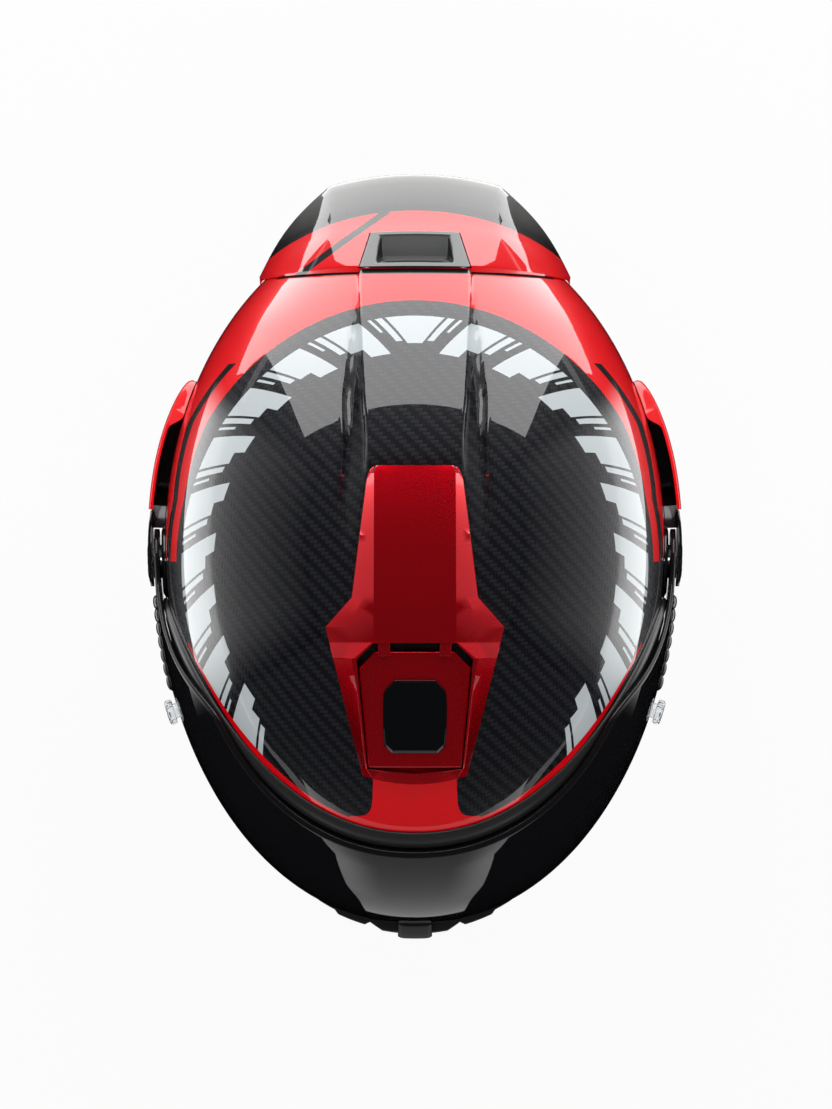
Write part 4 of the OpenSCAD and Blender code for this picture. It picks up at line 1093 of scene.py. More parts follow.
def grip_ring(u, grow, d):
    """A point of the grip's outline at the share u round it, drawn in by grow and lifted to d."""
    corners = np.array([(0.0, 0.5), (9.0, 0.5), (14.1, 0.34), (14.5, 0.1), (14.3, -0.2), (13.9, -0.4), (10.5, -0.5),
                        (0.0, -0.5)])
    outline = np.concatenate([corners, corners[::-1] * (-1, 1)])
    run = np.concatenate([[0], np.cumsum(np.linalg.norm(np.diff(outline * (1, GRIP_L), axis=0), axis=1))])
    x, y = (np.interp(u * run[-1], run, outline[:, i]) for i in (0, 1))
    scale = 1 - grow / GRIP_HALF
    return over_dome(x * scale, GRIP_MID + y * GRIP_L * (1 - grow * 2 / GRIP_L), d)


def grip_stops(u):
    high = SHUTTER_HIGH + 2
    return [grip_ring(u, 0, SHUTTER_HIGH + 0.25), grip_ring(u, 0, high - 0.9), grip_ring(u, 0.25, high - 0.5),
            grip_ring(u, 1.3, high), grip_ring(u, 1.9, high - 0.15), grip_ring(u, 7, high - 0.15),
            grip_ring(u, GRIP_HALF - 0.3, high - 0.15)]


grip = closed(loft(120, grip_stops))
GRIP_BLACK = plastic("grip_black", (0.0015, 0.002, 0.0025), 0.14, 0.1)
finish_piece(grip, "grip_smooth", "vent_shutter", GRIP_BLACK, ["top_vent_grip"], sharp=30)

# %% [markdown]
# ## Spoiler
#
# The spoiler closes the tail: its front edge lies flush along a seam across the shell, and its
# back edge is nearly straight. It is one loft round a closed row of stops. The columns are
# drawn together towards the tail in the middle, so that a block of faces covers just the
# outline of the exhaust port and can be taken out.

# %% Spoiler lines
BACK_REACH_SEAM, SPOILER_REACH, SPOILER_W, SPOILER_T = 123.5, 170.7, 40, 2.6
TIP_Z, TIP_DROP, TIP_BOW, TIP_SHARE = 200, 9, 4.7, 0.56
SPOILER_FOOT = 42
EXHAUST_U, EXHAUST_K, EXHAUST_TAPER = 0.38, 0.385, 0.78


def seam_z(t):
    share = BACK_REACH_SEAM / (BACK_REACH * np.abs(np.cos(np.radians(t))))
    return NAPE_Z + (SHELL_H - NAPE_Z) * cap(share, 2.2)


SEAM_HALF = math.degrees(math.acos(BACK_REACH_SEAM / BACK_REACH)) - 0.4


def seam_point(u, d):
    t = 180 + SEAM_HALF * u
    return skin(t, seam_z(t), d)


def tip_point(u):
    back = CROWN_Y + SPOILER_REACH
    k = np.abs(u) / TIP_SHARE
    far = np.clip((k - 1) * TIP_SHARE / (1 - TIP_SHARE), 0, 1)
    near = stack(SPOILER_W * k, back - TIP_BOW * k * k, TIP_Z - TIP_DROP * k * k)
    corner = np.array([SPOILER_W, back - TIP_BOW, TIP_Z - TIP_DROP])
    end = seam_point(np.array([-1.0]), 2)[0] + [0, 1, -1]
    wave = 3.5 * np.sin(np.pi * far)[:, None] * np.array([0.8, 0.6, 0])
    p = np.where((k < 1)[:, None], near, mix(corner, end, far[:, None]) + wave)
    p[:, 0] *= np.where(u > 0, -1, 1)
    return p


def spoiler_top(u, k):
    fat = mix(3.2, 1.4, smooth(np.abs(u), 0.5, 1))
    top = mix(seam_point(u, fat), tip_point(u), np.asarray(k)[..., None])
    top[:, 2] += 1.8 * np.sin(np.pi * k)
    return top


def foot_point(u, k, d):
    t = 180 + SEAM_HALF * u
    return skin(t, seam_z(t) - k * SPOILER_FOOT * (1 - 0.75 * u * u), d)


# %% Spoiler mesh
SPOILER_COLS, PORT_COLS = 96, 30
TOP_KS = [1.0, 0.97, 0.9, 0.8, 0.7, 0.6, 0.5, 0.44, EXHAUST_K, 0.3, 0.2, 0.1, 0.03, 0.0]


def spoiler_u(c, k):
    """Share along the seam of column c: the middle columns keep to the port's tapering sides."""
    s = 2 * c - 1
    inner = PORT_COLS / SPOILER_COLS
    taper = mix(1, EXHAUST_TAPER, min(k / EXHAUST_K, 1.0))
    edge = EXHAUST_U * taper + 0.008
    return np.where(np.abs(s) <= inner, s / inner * edge,
                    np.sign(s) * mix(edge, 1.0, (np.abs(s) - inner) / (1 - inner)))


def spoiler_stops(c):
    tops = [spoiler_top(spoiler_u(c, k), k) for k in TOP_KS]
    u = spoiler_u(c, 1.0)
    edge = tops[0]
    low = edge - [0, 0, SPOILER_T]
    foot = foot_point(u, 1, 1.4)
    under = [foot, mix(foot, low, 0.3) + [0, -2.4, 1.4], mix(foot, low, 0.6) + [0, -2.8, 1.8],
             mix(foot, low, 0.85) + [0, -1.2, 0.9], low]
    lip = [edge + [0, 0.2, -SPOILER_T * 0.75], edge + [0, 0.3, -SPOILER_T * 0.35]]
    front = [seam_point(spoiler_u(c, 0.0), 0.6)]
    back = [foot_point(spoiler_u(c, 0.0), k, 0.6) for k in (0.34, 0.7)]
    return under + lip + tops + front + back + under[:1]


def cut_exhaust(bm):
    """Takes out the faces over the exhaust port and gives the opening an upright wall."""
    def over_port(face):
        c = face.calc_center_median() / MM
        u = np.array([0.0])
        front, back = spoiler_top(u, 0.0)[0], spoiler_top(u, EXHAUST_K)[0]
        share = (c.y - front[1]) / (back[1] - front[1])
        if share < 0 or share > 1 or c.z < 190:
            return False
        edge = spoiler_top(np.array([-EXHAUST_U * mix(1, EXHAUST_TAPER, share) - 0.008]), share * EXHAUST_K)[0][0]
        return abs(c.x) < edge and face.normal.z > 0.3
    bmesh.ops.delete(bm, geom=[f for f in bm.faces if over_port(f)], context="FACES")
    rim = [e for e in bm.edges if e.is_boundary]
    made = bmesh.ops.extrude_edge_only(bm, edges=rim)["geom"]
    walls = [g for g in made if isinstance(g, bmesh.types.BMVert)]
    bmesh.ops.translate(bm, vec=(0, 0, -0.0022), verts=walls)
    return bm


spoiler = closed(loft(SPOILER_COLS, spoiler_stops))
upper = [v for v in spoiler.verts if v.co.z > 0.186 and all(f.normal.z > 0.35 for f in v.link_faces)]
for _ in range(10):
    bmesh.ops.smooth_vert(spoiler, verts=upper, factor=0.5, use_axis_z=True)
cut_exhaust(spoiler)


def spoiler_paint():
    """Red near the shell, one dark slanted stripe, and dark grey, painted paler towards the edge as a painted
    reflection.
    """
    f = Finish("spoiler_paint", RED, 0.4, Specular_IOR_Level=0.12, Coat_Weight=1.0, Coat_Roughness=0.02,
               Coat_IOR=1.75)
    x, y, z = f.place()
    round_crown = (x * x + (y - 30.0) * (y - 30.0)) ** 0.5
    slant = (x + 58.0) - (y - 134.0) * 1.42
    stripe = (slant.abs() < 2.6) & (x < -12.0)
    color = f.blend(stripe, RED, BLACK)
    # painted reflection: the dark grey pales towards the trailing edge, standing for the light behind the helmet
    # reflected there
    fade = f.blend((((round_crown - 138.0) / 30.0) | 0.0) & 1.0, (0.008, 0.008, 0.009), (0.24, 0.24, 0.23))
    color = f.blend(round_crown > 136.0, color, fade)
    f.color(f.blend(z < 150.0, color, GREY))
    return f.material


finish_piece(spoiler, "spoiler_painted", "shell", spoiler_paint(), ["spoiler"], sharp=35)

# %% [markdown]
# ## Exhaust port
#
# The frame in the spoiler has a flat rim, walls that lean in, a ramp that rises to the back,
# and at each side of the ramp an outlet, drawn as painted shade: black paint where the opening is.

# %% Exhaust frame
def exhaust_stops(u):
    s = 2 * u - 1

    def at(share, k, lift):
        return spoiler_top(s * EXHAUST_U * mix(1, EXHAUST_TAPER, k / EXHAUST_K) * share, k) + [0, 0, lift]
    side = np.abs(s)

    def sunk(k, depth):
        p = at(1, k, 0.7)
        wall = smooth(side, mix(0.72, 0.84, k / EXHAUST_K), mix(0.55, 0.72, k / EXHAUST_K))
        p[:, 2] -= depth * wall + 0.3 * (side > 0.98)
        return p
    rim_front = [sunk(0.01, 0), sunk(0.03, 0), sunk(0.05, 0)]
    ramp = [sunk(0.06, 8.0), sunk(0.09, 7.4), sunk(0.16, 5.6), sunk(0.24, 3.4), sunk(0.34, 1.0)]
    rim_back = [sunk(0.352, 0), sunk(0.365, 0), sunk(EXHAUST_K, 0), at(1, EXHAUST_K, -1.4)]
    return [at(1, 0.01, -1.4)] + rim_front + ramp + rim_back


def gunmetal():
    """Grey lacquer; the two outlets beside the ramp are painted shade, black patches that narrow to the back."""
    f = Finish("gunmetal", (0.12, 0.121, 0.122), 0.45, Coat_Weight=1.0, Coat_Roughness=0.04, Coat_IOR=1.55,
               Specular_IOR_Level=0.2)
    across, along = f.weave_place()
    side = (across * 2.0 - 1000.0).abs()
    back = (along - 333.0) / 333.0
    # painted shade: black where an outlet opens beside the ramp
    painted_shade_outlet = (side > back * 170.0 + 560.0) & (side < back * 30.0 + 720.0) & (back > 0.0) & (back < 0.95)
    shade = f.noise(900.0, 2.0) * 0.3 + 0.2
    f.color(f.blend(painted_shade_outlet, f.blend(shade, (0.10, 0.101, 0.103), (0.14, 0.141, 0.142)), BLACK))
    return f.material


exhaust = loft(64, exhaust_stops)
bmesh.ops.recalc_face_normals(exhaust, faces=exhaust.faces)
if sum(face.normal.z * face.calc_area() for face in exhaust.faces) < 0:
    bmesh.ops.reverse_faces(exhaust, faces=exhaust.faces)
finish_piece(exhaust, "exhaust_smooth", "shell", gunmetal(), ["exhaust_frame"], sharp=25, rounding=0.2)

# %% [markdown]
# ## Side fins
#
# Behind each pivot a red wall stands off the shell and is roofed over its back end, so that
# air leaves through the channel. It is a loft of a five-sided row, seen best from the side.

# %% Fins
FIN_START, FIN_END, FIN_OFF, FIN_OFF_END = 24.4, 86, 8.6, 2.4
FIN_LOW, FIN_HIGH, FIN_WALL = (126, 143), (169, 160), 1.8
FIN_T0, FIN_T1 = angle_at(PIVOT_Y + FIN_START, PIVOT_Z), angle_at(PIVOT_Y + FIN_END, PIVOT_Z)


def fin_stops(k):
    t = mix(FIN_T0, FIN_T1, k)
    off = mix(FIN_OFF_END, FIN_OFF, np.sqrt(np.maximum(0, 1 - k ** 3)))
    low = mix(*FIN_LOW, k)
    high = mix(*FIN_HIGH, k) - 3 * (1 - k) ** 6
    arch = smooth(k, 0.6, 0.72)
    roof = mix(off - FIN_WALL - 0.3, SEAT + 0.1, arch)
    inner = np.maximum(SEAT + 0.2, off - FIN_WALL)

    def at(z, d):
        return skin(t, z, d)
    middle = mix(low, high, 0.5)
    outside = [at(low, SEAT), at(low + 0.4, off - 1.6), at(low + 1.4, off - 0.5), at(mix(low, high, 0.25), off),
               at(middle, off), at(mix(low, high, 0.75), off), at(high - 1.2, off - 0.15), at(high, off - 0.8),
               at(high + 3 * arch, roof)]
    inside = [at(high - FIN_WALL, roof), at(high - FIN_WALL, inner), at(middle, inner), at(low + FIN_WALL, inner),
              at(low + FIN_WALL, SEAT)]
    return outside + inside + outside[:1]


def fin_paint():
    """Red outside; the channel behind the wall, the last rows of the loft, is bare black."""
    f = Finish("fin_paint", RED, 0.38, Specular_IOR_Level=0.12, Coat_Weight=1.0, Coat_Roughness=0.02, Coat_IOR=1.5)
    along, row = f.weave_place()
    f.color(f.blend(row > 607.0, RED, BLACK))
    return f.material


FIN_PAINT = fin_paint()
for name, side in (("left", 1), ("right", -1)):
    fin = closed(loft(48, fin_stops))
    if side < 0:
        mirrored(fin)
    finish_piece(fin, "side_fin_smooth_" + name, "shell", FIN_PAINT, ["side_fin_" + name], sharp=35,
                 rounding=0.2)

# %% [markdown]
# ## Chin bar
#
# Under the visor lies a black lip with the lock's button in it, and below that the mouth vent,
# a bar with a window at each side. The windows are cut with Boolean from the loft, because
# their edges cross its rows.

# %% Chin lip
LIP_TOP = TAB_Z - 0.9
LIP_STEPS = [(0, 11.2), (14.5, 10.8), (20.5, 7.8), (22.5, 9.6), (34.5, 9.2), (36.5, 7.8), (44, 7.4), (48, 2.5)]
LOCK_Z, LOCK_R = LIP_TOP - 6.5, 4


def spread(steps, u, blend=0.35):
    """Distances from the middle along a stepped outline: u runs from end to end of its breaks."""
    xs = np.array([x for x, _ in steps], float)
    whole = np.concatenate([-xs[:0:-1], xs])
    at = np.interp(u, np.linspace(0, 1, len(whole)), whole)
    return at, np.interp(np.abs(at), xs, [o for _, o in steps])


def lip_stops(u):
    x, out = spread(LIP_STEPS, u)
    t = front_angle(np.abs(x), LIP_TOP) * np.sign(x)
    foot = mix(LIP_TOP - 13, LIP_TOP - 7.5, smooth(np.abs(t), 7, 10))

    def at(k, share):
        return skin(t, mix(foot, LIP_TOP, k), out * share)

    def back(k):
        return skin(t, mix(foot, LIP_TOP, k), SEAT)
    front = [at(0, 0.7), at(0.06, 0.82), at(0.35, 1), at(0.8, 1), at(0.95, 0.94), at(1, 0.8)]
    return [back(1), back(0.5), back(0)] + front + [back(1)]


def cut_with(piece, cutters):
    """Takes the cutters' shapes out of a piece for good."""
    for cutter in cutters:
        m = piece.modifiers.new("cut", "BOOLEAN")
        m.object = cutter
        m.solver = "EXACT"
    shown = piece.evaluated_get(bpy.context.evaluated_depsgraph_get())
    mesh = bpy.data.meshes.new_from_object(shown)
    piece.modifiers.clear()
    piece.data = mesh
    for cutter in cutters:
        bpy.data.objects.remove(cutter)
    print(f"{piece.name}: cut, {len(mesh.polygons)} faces")


def block(x, y, z, wide, deep, high, rounded=0.0):
    """A cutter: a box about a point, in millimetres, with rounded upright edges."""
    bm = bmesh.new()
    bmesh.ops.create_cube(bm, size=MM)
    bmesh.ops.scale(bm, vec=(wide, deep, high), verts=bm.verts)
    bmesh.ops.translate(bm, vec=Vector((x, y, z)) * MM, verts=bm.verts)
    if rounded:
        along_y = [e for e in bm.edges if abs((e.verts[0].co - e.verts[1].co).normalized().y) > 0.9]
        bmesh.ops.bevel(bm, geom=along_y, offset=rounded * MM, affect="EDGES", segments=4, profile=0.5, material=-1)
    return cutter_object(bm)


def round_bar(x, y, z, radius, length):
    """A cutter: a round bar along Y."""
    bm = bmesh.new()
    bmesh.ops.create_cone(bm, cap_ends=True, segments=48, radius1=radius * MM, radius2=radius * MM, depth=length * MM)
    bmesh.ops.rotate(bm, matrix=Matrix.Rotation(math.pi / 2, 3, "X"), verts=bm.verts)
    bmesh.ops.translate(bm, vec=Vector((x, y, z)) * MM, verts=bm.verts)
    return cutter_object(bm)


def cutter_object(bm):
    mesh = bpy.data.meshes.new("cutter")
    bm.to_mesh(mesh)
    bm.free()
    cutter = bpy.data.objects.new("cutter", mesh)
    bpy.context.scene.collection.objects.link(cutter)
    return cutter


lip = finish_piece(closed(loft(140, lip_stops)), "chin_lip_smooth", "shell", SATIN_BLACK,
                   ["chin_lip"], sharp=30)
lip_front = CROWN_Y - float(front_at(LOCK_Z))
cut_with(lip, [round_bar(0, lip_front - SEAT - 1.5 - 10, LOCK_Z, LOCK_R + SLIDE_GAP, 24)])

# %% Mouth vent
VENT_Z, VENT_HALF = 61, 13
WINDOW_X, WINDOW_W, WINDOW_H = 17.5, 15, 13
SLIDER_W, SLIDER_DEEP = 7, 3.4
MOUTH_STEPS = [(0, 8.2), (7.5, 8.2), (9, 7.4), (24, 6.6), (29, 6), (33, 5.4), (42, 4.2), (47, 1.6)]


def mouth_stops(u):
    x, out = spread(MOUTH_STEPS, u)
    t = front_angle(np.abs(x), VENT_Z) * np.sign(x)
    high = VENT_HALF * (1 - 0.5 * smooth(np.abs(x), 24, 47))

    def at(v, d):
        return skin(t, VENT_Z + high * v, d)
    face = [at(-1, 1.4), at(-0.95, out * 0.55), at(-0.84, out * 0.88), at(-0.7, out), at(-0.35, out + 0.1),
            at(0, out + 0.12), at(0.35, out + 0.1), at(0.7, out), at(0.84, out * 0.88), at(0.95, out * 0.55), at(1, 1.4)]
    back = [at(v, 0.4) for v in (1, 0.5, 0, -0.5, -1)]
    return face + back + face[:1]


mouth = finish_piece(closed(loft(150, mouth_stops)), "chin_vent_smooth", "shell", SATIN_BLACK,
                     ["chin_vent_housing"], sharp=30)
chin_y = CROWN_Y - CHIN_REACH
slot_h = VENT_HALF * 0.9 + 2 * SLIDE_GAP
slot_y = chin_y - 8.4 - 10 + (10 + SLIDER_DEEP) / 2
cutters = [block(side * WINDOW_X, chin_y, VENT_Z, WINDOW_W, 60, WINDOW_H, 1.6) for side in (-1, 1)]
cutters += [block(side * 35, chin_y, VENT_Z, 9, 60, 6, 1.4) for side in (-1, 1)]
cutters.append(block(0, slot_y, VENT_Z, SLIDER_W + 2 * SLIDE_GAP, 10 + SLIDER_DEEP, slot_h))
cut_with(mouth, cutters)

# %% [markdown]
# ## Foam
#
# The cap and the chin bar are steam-moulded beads of expanded foam. Their shapes come from the
# frame, and only the finish is new: cells of a Voronoi texture, a few millimetres wide, are the
# beads, and a slow noise makes some of them paler.

# %% Foam finish
def bead_foam():
    f = Finish("bead_foam", (0.035, 0.035, 0.037), 0.75)
    cells = f.node("TexVoronoi", feature="DISTANCE_TO_EDGE")
    cells.inputs["Scale"].default_value = 330.0
    f.link(f.node("TexCoord").outputs["Object"], cells.inputs["Vector"])
    edge = Sum(f.tree, cells.outputs["Distance"])
    f.color(f.blend(f.noise(120.0) * 1.3, (0.022, 0.022, 0.024), (0.06, 0.06, 0.064)))
    f.bump((edge * 5.0) & 1.0, 0.0004, 0.7)
    return f.material


STEEL = plastic("brushed_steel", (0.52, 0.53, 0.54), 0.3, 0.2, Metallic=1.0)
MESH_METAL = plastic("mesh_metal", (0.09, 0.09, 0.095), 0.4, 0.3, Metallic=0.7)
BUTTON_RED = plastic("button_red", (0.42, 0.006, 0.008), 0.35, 0.2)
KEPT = {"impact_foam": bead_foam(), "chin_foam": None, "pivot_base_left": SATIN_BLACK, "pivot_base_right": SATIN_BLACK,
        "pivot_screws": STEEL, "d_ring_lower": STEEL, "d_ring_upper": STEEL, "strap_rivets": STEEL,
        "strap_snap": STEEL, "lock_button": BUTTON_RED, "chin_vent_slider": SATIN_BLACK, "chin_vent_mesh": MESH_METAL}
KEPT["chin_foam"] = KEPT["impact_foam"]
for name, material in KEPT.items():
    for material_slot in nodes[name].material_slots:
        material_slot.material = material
print("finishes on", len(KEPT), "pieces of the frame")

# %% [markdown]
# ## Cloths
#
# Knit, mesh and webbing differ in how their threads lie. The knit is drawn by two crossed waves
# on Object coordinates, since the pads have no seams to hide. The webbing follows its own UV
# map, so that its ribs run along the strap wherever it bends.

# %% Cloth finishes
def knit(name, color, pale, size=1.1):
    f = Finish(name, color, 0.85, Sheen_Weight=0.35, Sheen_Roughness=0.5)
    x, y, z = f.place()
    turn = math.tau / size
    loops = ((x * turn).sin() * (z * turn).sin()).abs() + ((y * turn).sin() * (z * turn + 1.1).sin()).abs()
    height = (loops * 0.7) & 1.0
    f.color(f.blend(height * 0.7 + f.noise(60.0) * 0.3, color, pale))
    f.bump(height, 0.0003, 0.6)
    return f.material


def webbing(name, color, pale, rib=1.5):
    f = Finish(name, color, 0.7, Sheen_Weight=0.2, Sheen_Roughness=0.4)
    along, across = f.weave_place()
    ribs = (across * (math.pi / rib)).sin().abs()
    threads = ((along + (across / (2 * rib)).floor() * 0.55) * (math.pi / 0.9)).sin().abs()
    height = ribs * (0.55 + threads * 0.45)
    f.color(f.blend(height, color, pale))
    f.bump(height, 0.00035, 0.8)
    return f.material


PAD_CLOTH = knit("pad_knit", (0.014, 0.014, 0.015), (0.055, 0.055, 0.058))
LINING_CLOTH = knit("lining_mesh", (0.02, 0.02, 0.022), (0.075, 0.075, 0.08), 2.2)
CURTAIN_CLOTH = knit("curtain_cloth", (0.01, 0.01, 0.011), (0.03, 0.03, 0.032), 0.9)
STRAP_WEB = webbing("strap_webbing", (0.008, 0.008, 0.009), (0.045, 0.045, 0.048))
TAB_WEB = webbing("tab_webbing", (0.35, 0.005, 0.006), (0.62, 0.02, 0.02), 1.1)

# %% [markdown]
# ## Crown lining
#
# The lining is a sewn quilt: a middle panel from brow to nape and side panels, with channels
# stitched between them. It is laid on rays from the middle of the helmet, because the crown is
# then an ordinary point. Every panel bulges between its channels. A simulation would give
# much the same pillows, but would wash out channels that are only 3 mm wide.

# %% Rays from the middle
def on_ray(azimuth, polar, d):
    """The point d outside the shell on a ray from the middle; polar is 0 at the crown."""
    way = stack(np.sin(polar) * np.sin(azimuth), -np.sin(polar) * np.cos(azimuth), np.cos(polar))
    low, high = np.zeros(len(way)), np.full(len(way), 260.0)
    for _ in range(30):
        r = (low + high) / 2
        x, y, z = way[:, 0] * r, CROWN_Y + way[:, 1] * r, WAIST_Z + way[:, 2] * r
        inside = (fullness(x, y, np.minimum(z, SHELL_H)) < 1) & (z < SHELL_H)
        low, high = np.where(inside, r, low), np.where(inside, high, r)
    p = stack(way[:, 0] * low, CROWN_Y + way[:, 1] * low, WAIST_Z + way[:, 2] * low)
    n = gradient(p[:, 0], p[:, 1], np.minimum(p[:, 2], SHELL_H - 1.5), 0.8)
    return p + np.asarray(d)[..., None] * n


def polar_of(p):
    """Azimuth and polar angle of points seen from the middle."""
    off = p - [0, CROWN_Y, WAIST_Z]
    return np.arctan2(off[:, 0], -off[:, 1]), np.arccos(off[:, 2] / np.linalg.norm(off, axis=1))


# %% Quilt
FOAM_OUT = SHELL_T + 0.8
FOAM_IN = FOAM_OUT + 30
LINING_OUT, LINING_T, LINING_LIFT = FOAM_IN + 1.4, 9, 12


def foam_edge(t):
    a = np.minimum(t % 360, 360 - t % 360)
    end = PORT_END + 4
    over = PORT_Z + (PORT_H / 2 + 4) * np.maximum(0, 1 - np.minimum(1, a / end) ** 4) ** 0.5
    ahead = mix(over, over - 30, smooth(a, 70, end))
    return np.where(a < end, ahead, mix(126, 48, smooth(a, 106, 134)))


def channel(p):
    """How near a point is to a sewn channel of the lining, from 0 to 1."""
    side = np.abs(p[:, 0])
    line = np.abs(side - 27)
    across = np.abs((p[:, 1] + 8) % 44 - 22)
    return np.exp(-(line / 1.9) ** 2) + np.exp(-(across / 1.7) ** 2) * (side > 27)


def lining_place(u, v):
    t = 360 * u
    azimuth, edge = polar_of(on_shell(t, foam_edge(t) + LINING_LIFT))
    outer = v < 0.35
    k = np.where(outer, 1 - v / 0.35, (v - 0.35) / 0.65)
    polar = edge * k
    base = on_ray(azimuth, polar, -LINING_OUT)
    swell = np.sqrt(np.maximum(0, 1 - k ** 14))
    thick = (LINING_T - 0.4) * mix(0.35, 1, swell)
    inner = on_ray(azimuth, polar, -LINING_OUT - thick)
    drop = 3.2 * np.minimum(1, channel(inner)) * (k < 0.98)
    inner = on_ray(azimuth, polar, -LINING_OUT - thick + drop)
    return np.where(outer[:, None], base, inner)


lining = weld(lay(grid(192, 140), lining_place), 0.0003)
bmesh.ops.recalc_face_normals(lining, faces=lining.faces)
finish_piece(closed(lining), "crown_lining_quilted", "shell", LINING_CLOTH,
                       ["crown_lining"], sharp=70)

# %% [markdown]
# ## Cheek pads and neck roll
#
# Each is foam in a knitted cover. The block follows the shell on its outside and is thick in
# the middle. It is made a little too small and blown up as cloth, so the cover pulls tight
# over its edges; a cap keeps it inside its room. One pad is simulated, and its twin mirrored.

# %% Pads
def pad_place(t0, t1, z0, z1, depth, thick, edge):
    def place(u, v):
        """The sheet v runs over the outside up to 0.4 and then over the inside."""
        outer = v < 0.4
        k = np.where(outer, v / 0.4, (1 - v) / 0.6)
        a, b = np.abs(2 * u - 1), np.abs(2 * k - 1)
        bulge = np.sqrt(np.maximum(0, 1 - a ** 3)) * np.sqrt(np.maximum(0, 1 - b ** 3))
        d = depth + np.where(outer, 0, edge + (thick - edge) * bulge)
        return skin(mix(t0, t1, u), mix(z0, z1, k), -d)
    return place


def as_object(bm, name):
    mesh = bpy.data.meshes.new(name)
    bm.to_mesh(mesh)
    bm.free()
    piece = bpy.data.objects.new(name, mesh)
    bpy.context.scene.collection.objects.link(piece)
    return piece


def applied(piece):
    """A bmesh of the piece with its modifiers applied; the piece itself goes."""
    shown = piece.evaluated_get(bpy.context.evaluated_depsgraph_get())
    bm = bmesh.new()
    bm.from_mesh(shown.data)
    bpy.data.objects.remove(piece)
    return bm


def puffed(bm, voxel, most, pressure=4.0):
    """Remeshes a closed shape and blows it up as cloth, no point by more than most millimetres."""
    piece = as_object(bm, "before")
    m = piece.modifiers.new("voxels", "REMESH")
    m.mode, m.voxel_size = "VOXEL", voxel * MM
    bm = applied(piece)
    start = np.array([v.co for v in bm.verts])
    piece = as_object(bm, "sewn")
    cloth = piece.modifiers.new("cloth", "CLOTH")
    cloth.settings.use_pressure = True
    cloth.settings.uniform_pressure_force = pressure
    cloth.settings.effector_weights.gravity = 0
    cloth.settings.tension_stiffness = cloth.settings.compression_stiffness = 12
    for number in range(1, 21):
        bpy.context.scene.frame_set(number)
    bm = applied(piece)
    moved = np.array([v.co for v in bm.verts]) - start
    length = np.maximum(np.linalg.norm(moved, axis=1), 1e-9)
    moved *= np.minimum(1, most * MM / length)[:, None]
    for vert, spot in zip(bm.verts, start + moved):
        vert.co = spot
    bpy.context.scene.frame_set(1)
    bmesh.ops.smooth_vert(bm, verts=bm.verts, factor=0.5, use_axis_x=True, use_axis_y=True, use_axis_z=True)
    bm.loops.layers.uv.new("weave")
    return bm


def sewn(bm, lines, deep=1.3, wide=1.6):
    """Presses seams into the cover; lines gives for all points the distance to the nearest seam."""
    bmesh.ops.subdivide_edges(bm, edges=bm.edges, cuts=1, use_grid_fill=True, smooth=0.6)
    points = np.array([v.co for v in bm.verts]) / MM
    drop = deep * np.exp(-(lines(points) / wide) ** 2)
    bm.normal_update()
    for vert, depth in zip(bm.verts, drop):
        vert.co -= vert.normal * depth * MM
    return bm


CHIN_FOAM_END, PAD_OUT, WEBBING_D = 56, 11.0, 5.0
CHEEK_LOW, CHEEK_HIGH = 29, 118


def cheek_seams(p):
    """A seam round the pad's face and one across its middle."""
    level = np.abs(p[:, 2] - 74 - 0.12 * (p[:, 1] + 40))
    depth = np.abs(p[:, 0]) - (half_width(p[:, 2]) - PAD_OUT - 12)
    return np.minimum(np.where(depth < 0, level, 99), np.abs(depth))


cheek = weld(lay(grid(26, 50), pad_place(CHIN_FOAM_END + 1.6, 101.5, CHEEK_LOW + 2, CHEEK_HIGH - 2, PAD_OUT + 1.2,
                                         41, 11)), 0.0001)
cheek = sewn(puffed(closed(cheek), 4.5, 2.2), cheek_seams)
twin = cheek.copy()
for bm, name in ((cheek, "left"), (mirrored(twin), "right")):
    finish_piece(bm, "cheek_pad_sewn_" + name, "shell", PAD_CLOTH, ["cheek_pad_" + name],
                           sharp=80)

roll = weld(lay(grid(70, 24), pad_place(113.5, 246.5, 16, 41, WEBBING_D + 0.8, 19, 5)), 0.0001)
roll = sewn(puffed(closed(roll), 4.0, 1.6), lambda p: np.abs((angle_of(*p.T) % 360) % 34 - 17), 1.0)
finish_piece(roll, "neck_roll_sewn", "shell", PAD_CLOTH, ["neck_roll"], sharp=80)

# %% [markdown]
# ## Chin curtain and breath guard
#
# The curtain is a stretched piece of cloth with an elastic hem, hooked under the chin bar. The
# breath guard is a rubber flap that stands behind the top of the chin foam.

# %% Curtain
CURTAIN_Z, CURTAIN_REACH, CURTAIN_SAG = 14, 38, 5


def curtain_place(u, v):
    t = mix(-46, 46, u)
    p = skin(t, CURTAIN_Z, -WEBBING_D - 0.6 - CURTAIN_REACH * v * np.cos(np.radians(1.6 * t)))
    wave = 0.35 * np.sin(u * 60) * v * (1 - v)
    hem = 0.5 * np.exp(-((v - 0.965) / 0.02) ** 2)
    return at_height(p, CURTAIN_Z - CURTAIN_SAG * np.sin(np.pi * v) + 1.5 + wave + hem)


curtain = lay(grid(90, 40), curtain_place)
bmesh.ops.recalc_face_normals(curtain, faces=curtain.faces)
cut_area = sum(face.calc_area() for face in curtain.faces)
rim_points = curtain_place(np.linspace(0, 1, 91), np.zeros(91)) * MM
hung = finish_piece(curtain, "chin_curtain_cloth", "shell", CURTAIN_CLOTH, ["chin_curtain"],
                    sharp=80, wall=0.8)

# %% Breath guard
CHIN_FOAM_T, GUARD_FOOT, GUARD_END, GUARD_RISE, GUARD_LEAN, GUARD_T = 20, 89, 103, 30, 5, 1.8


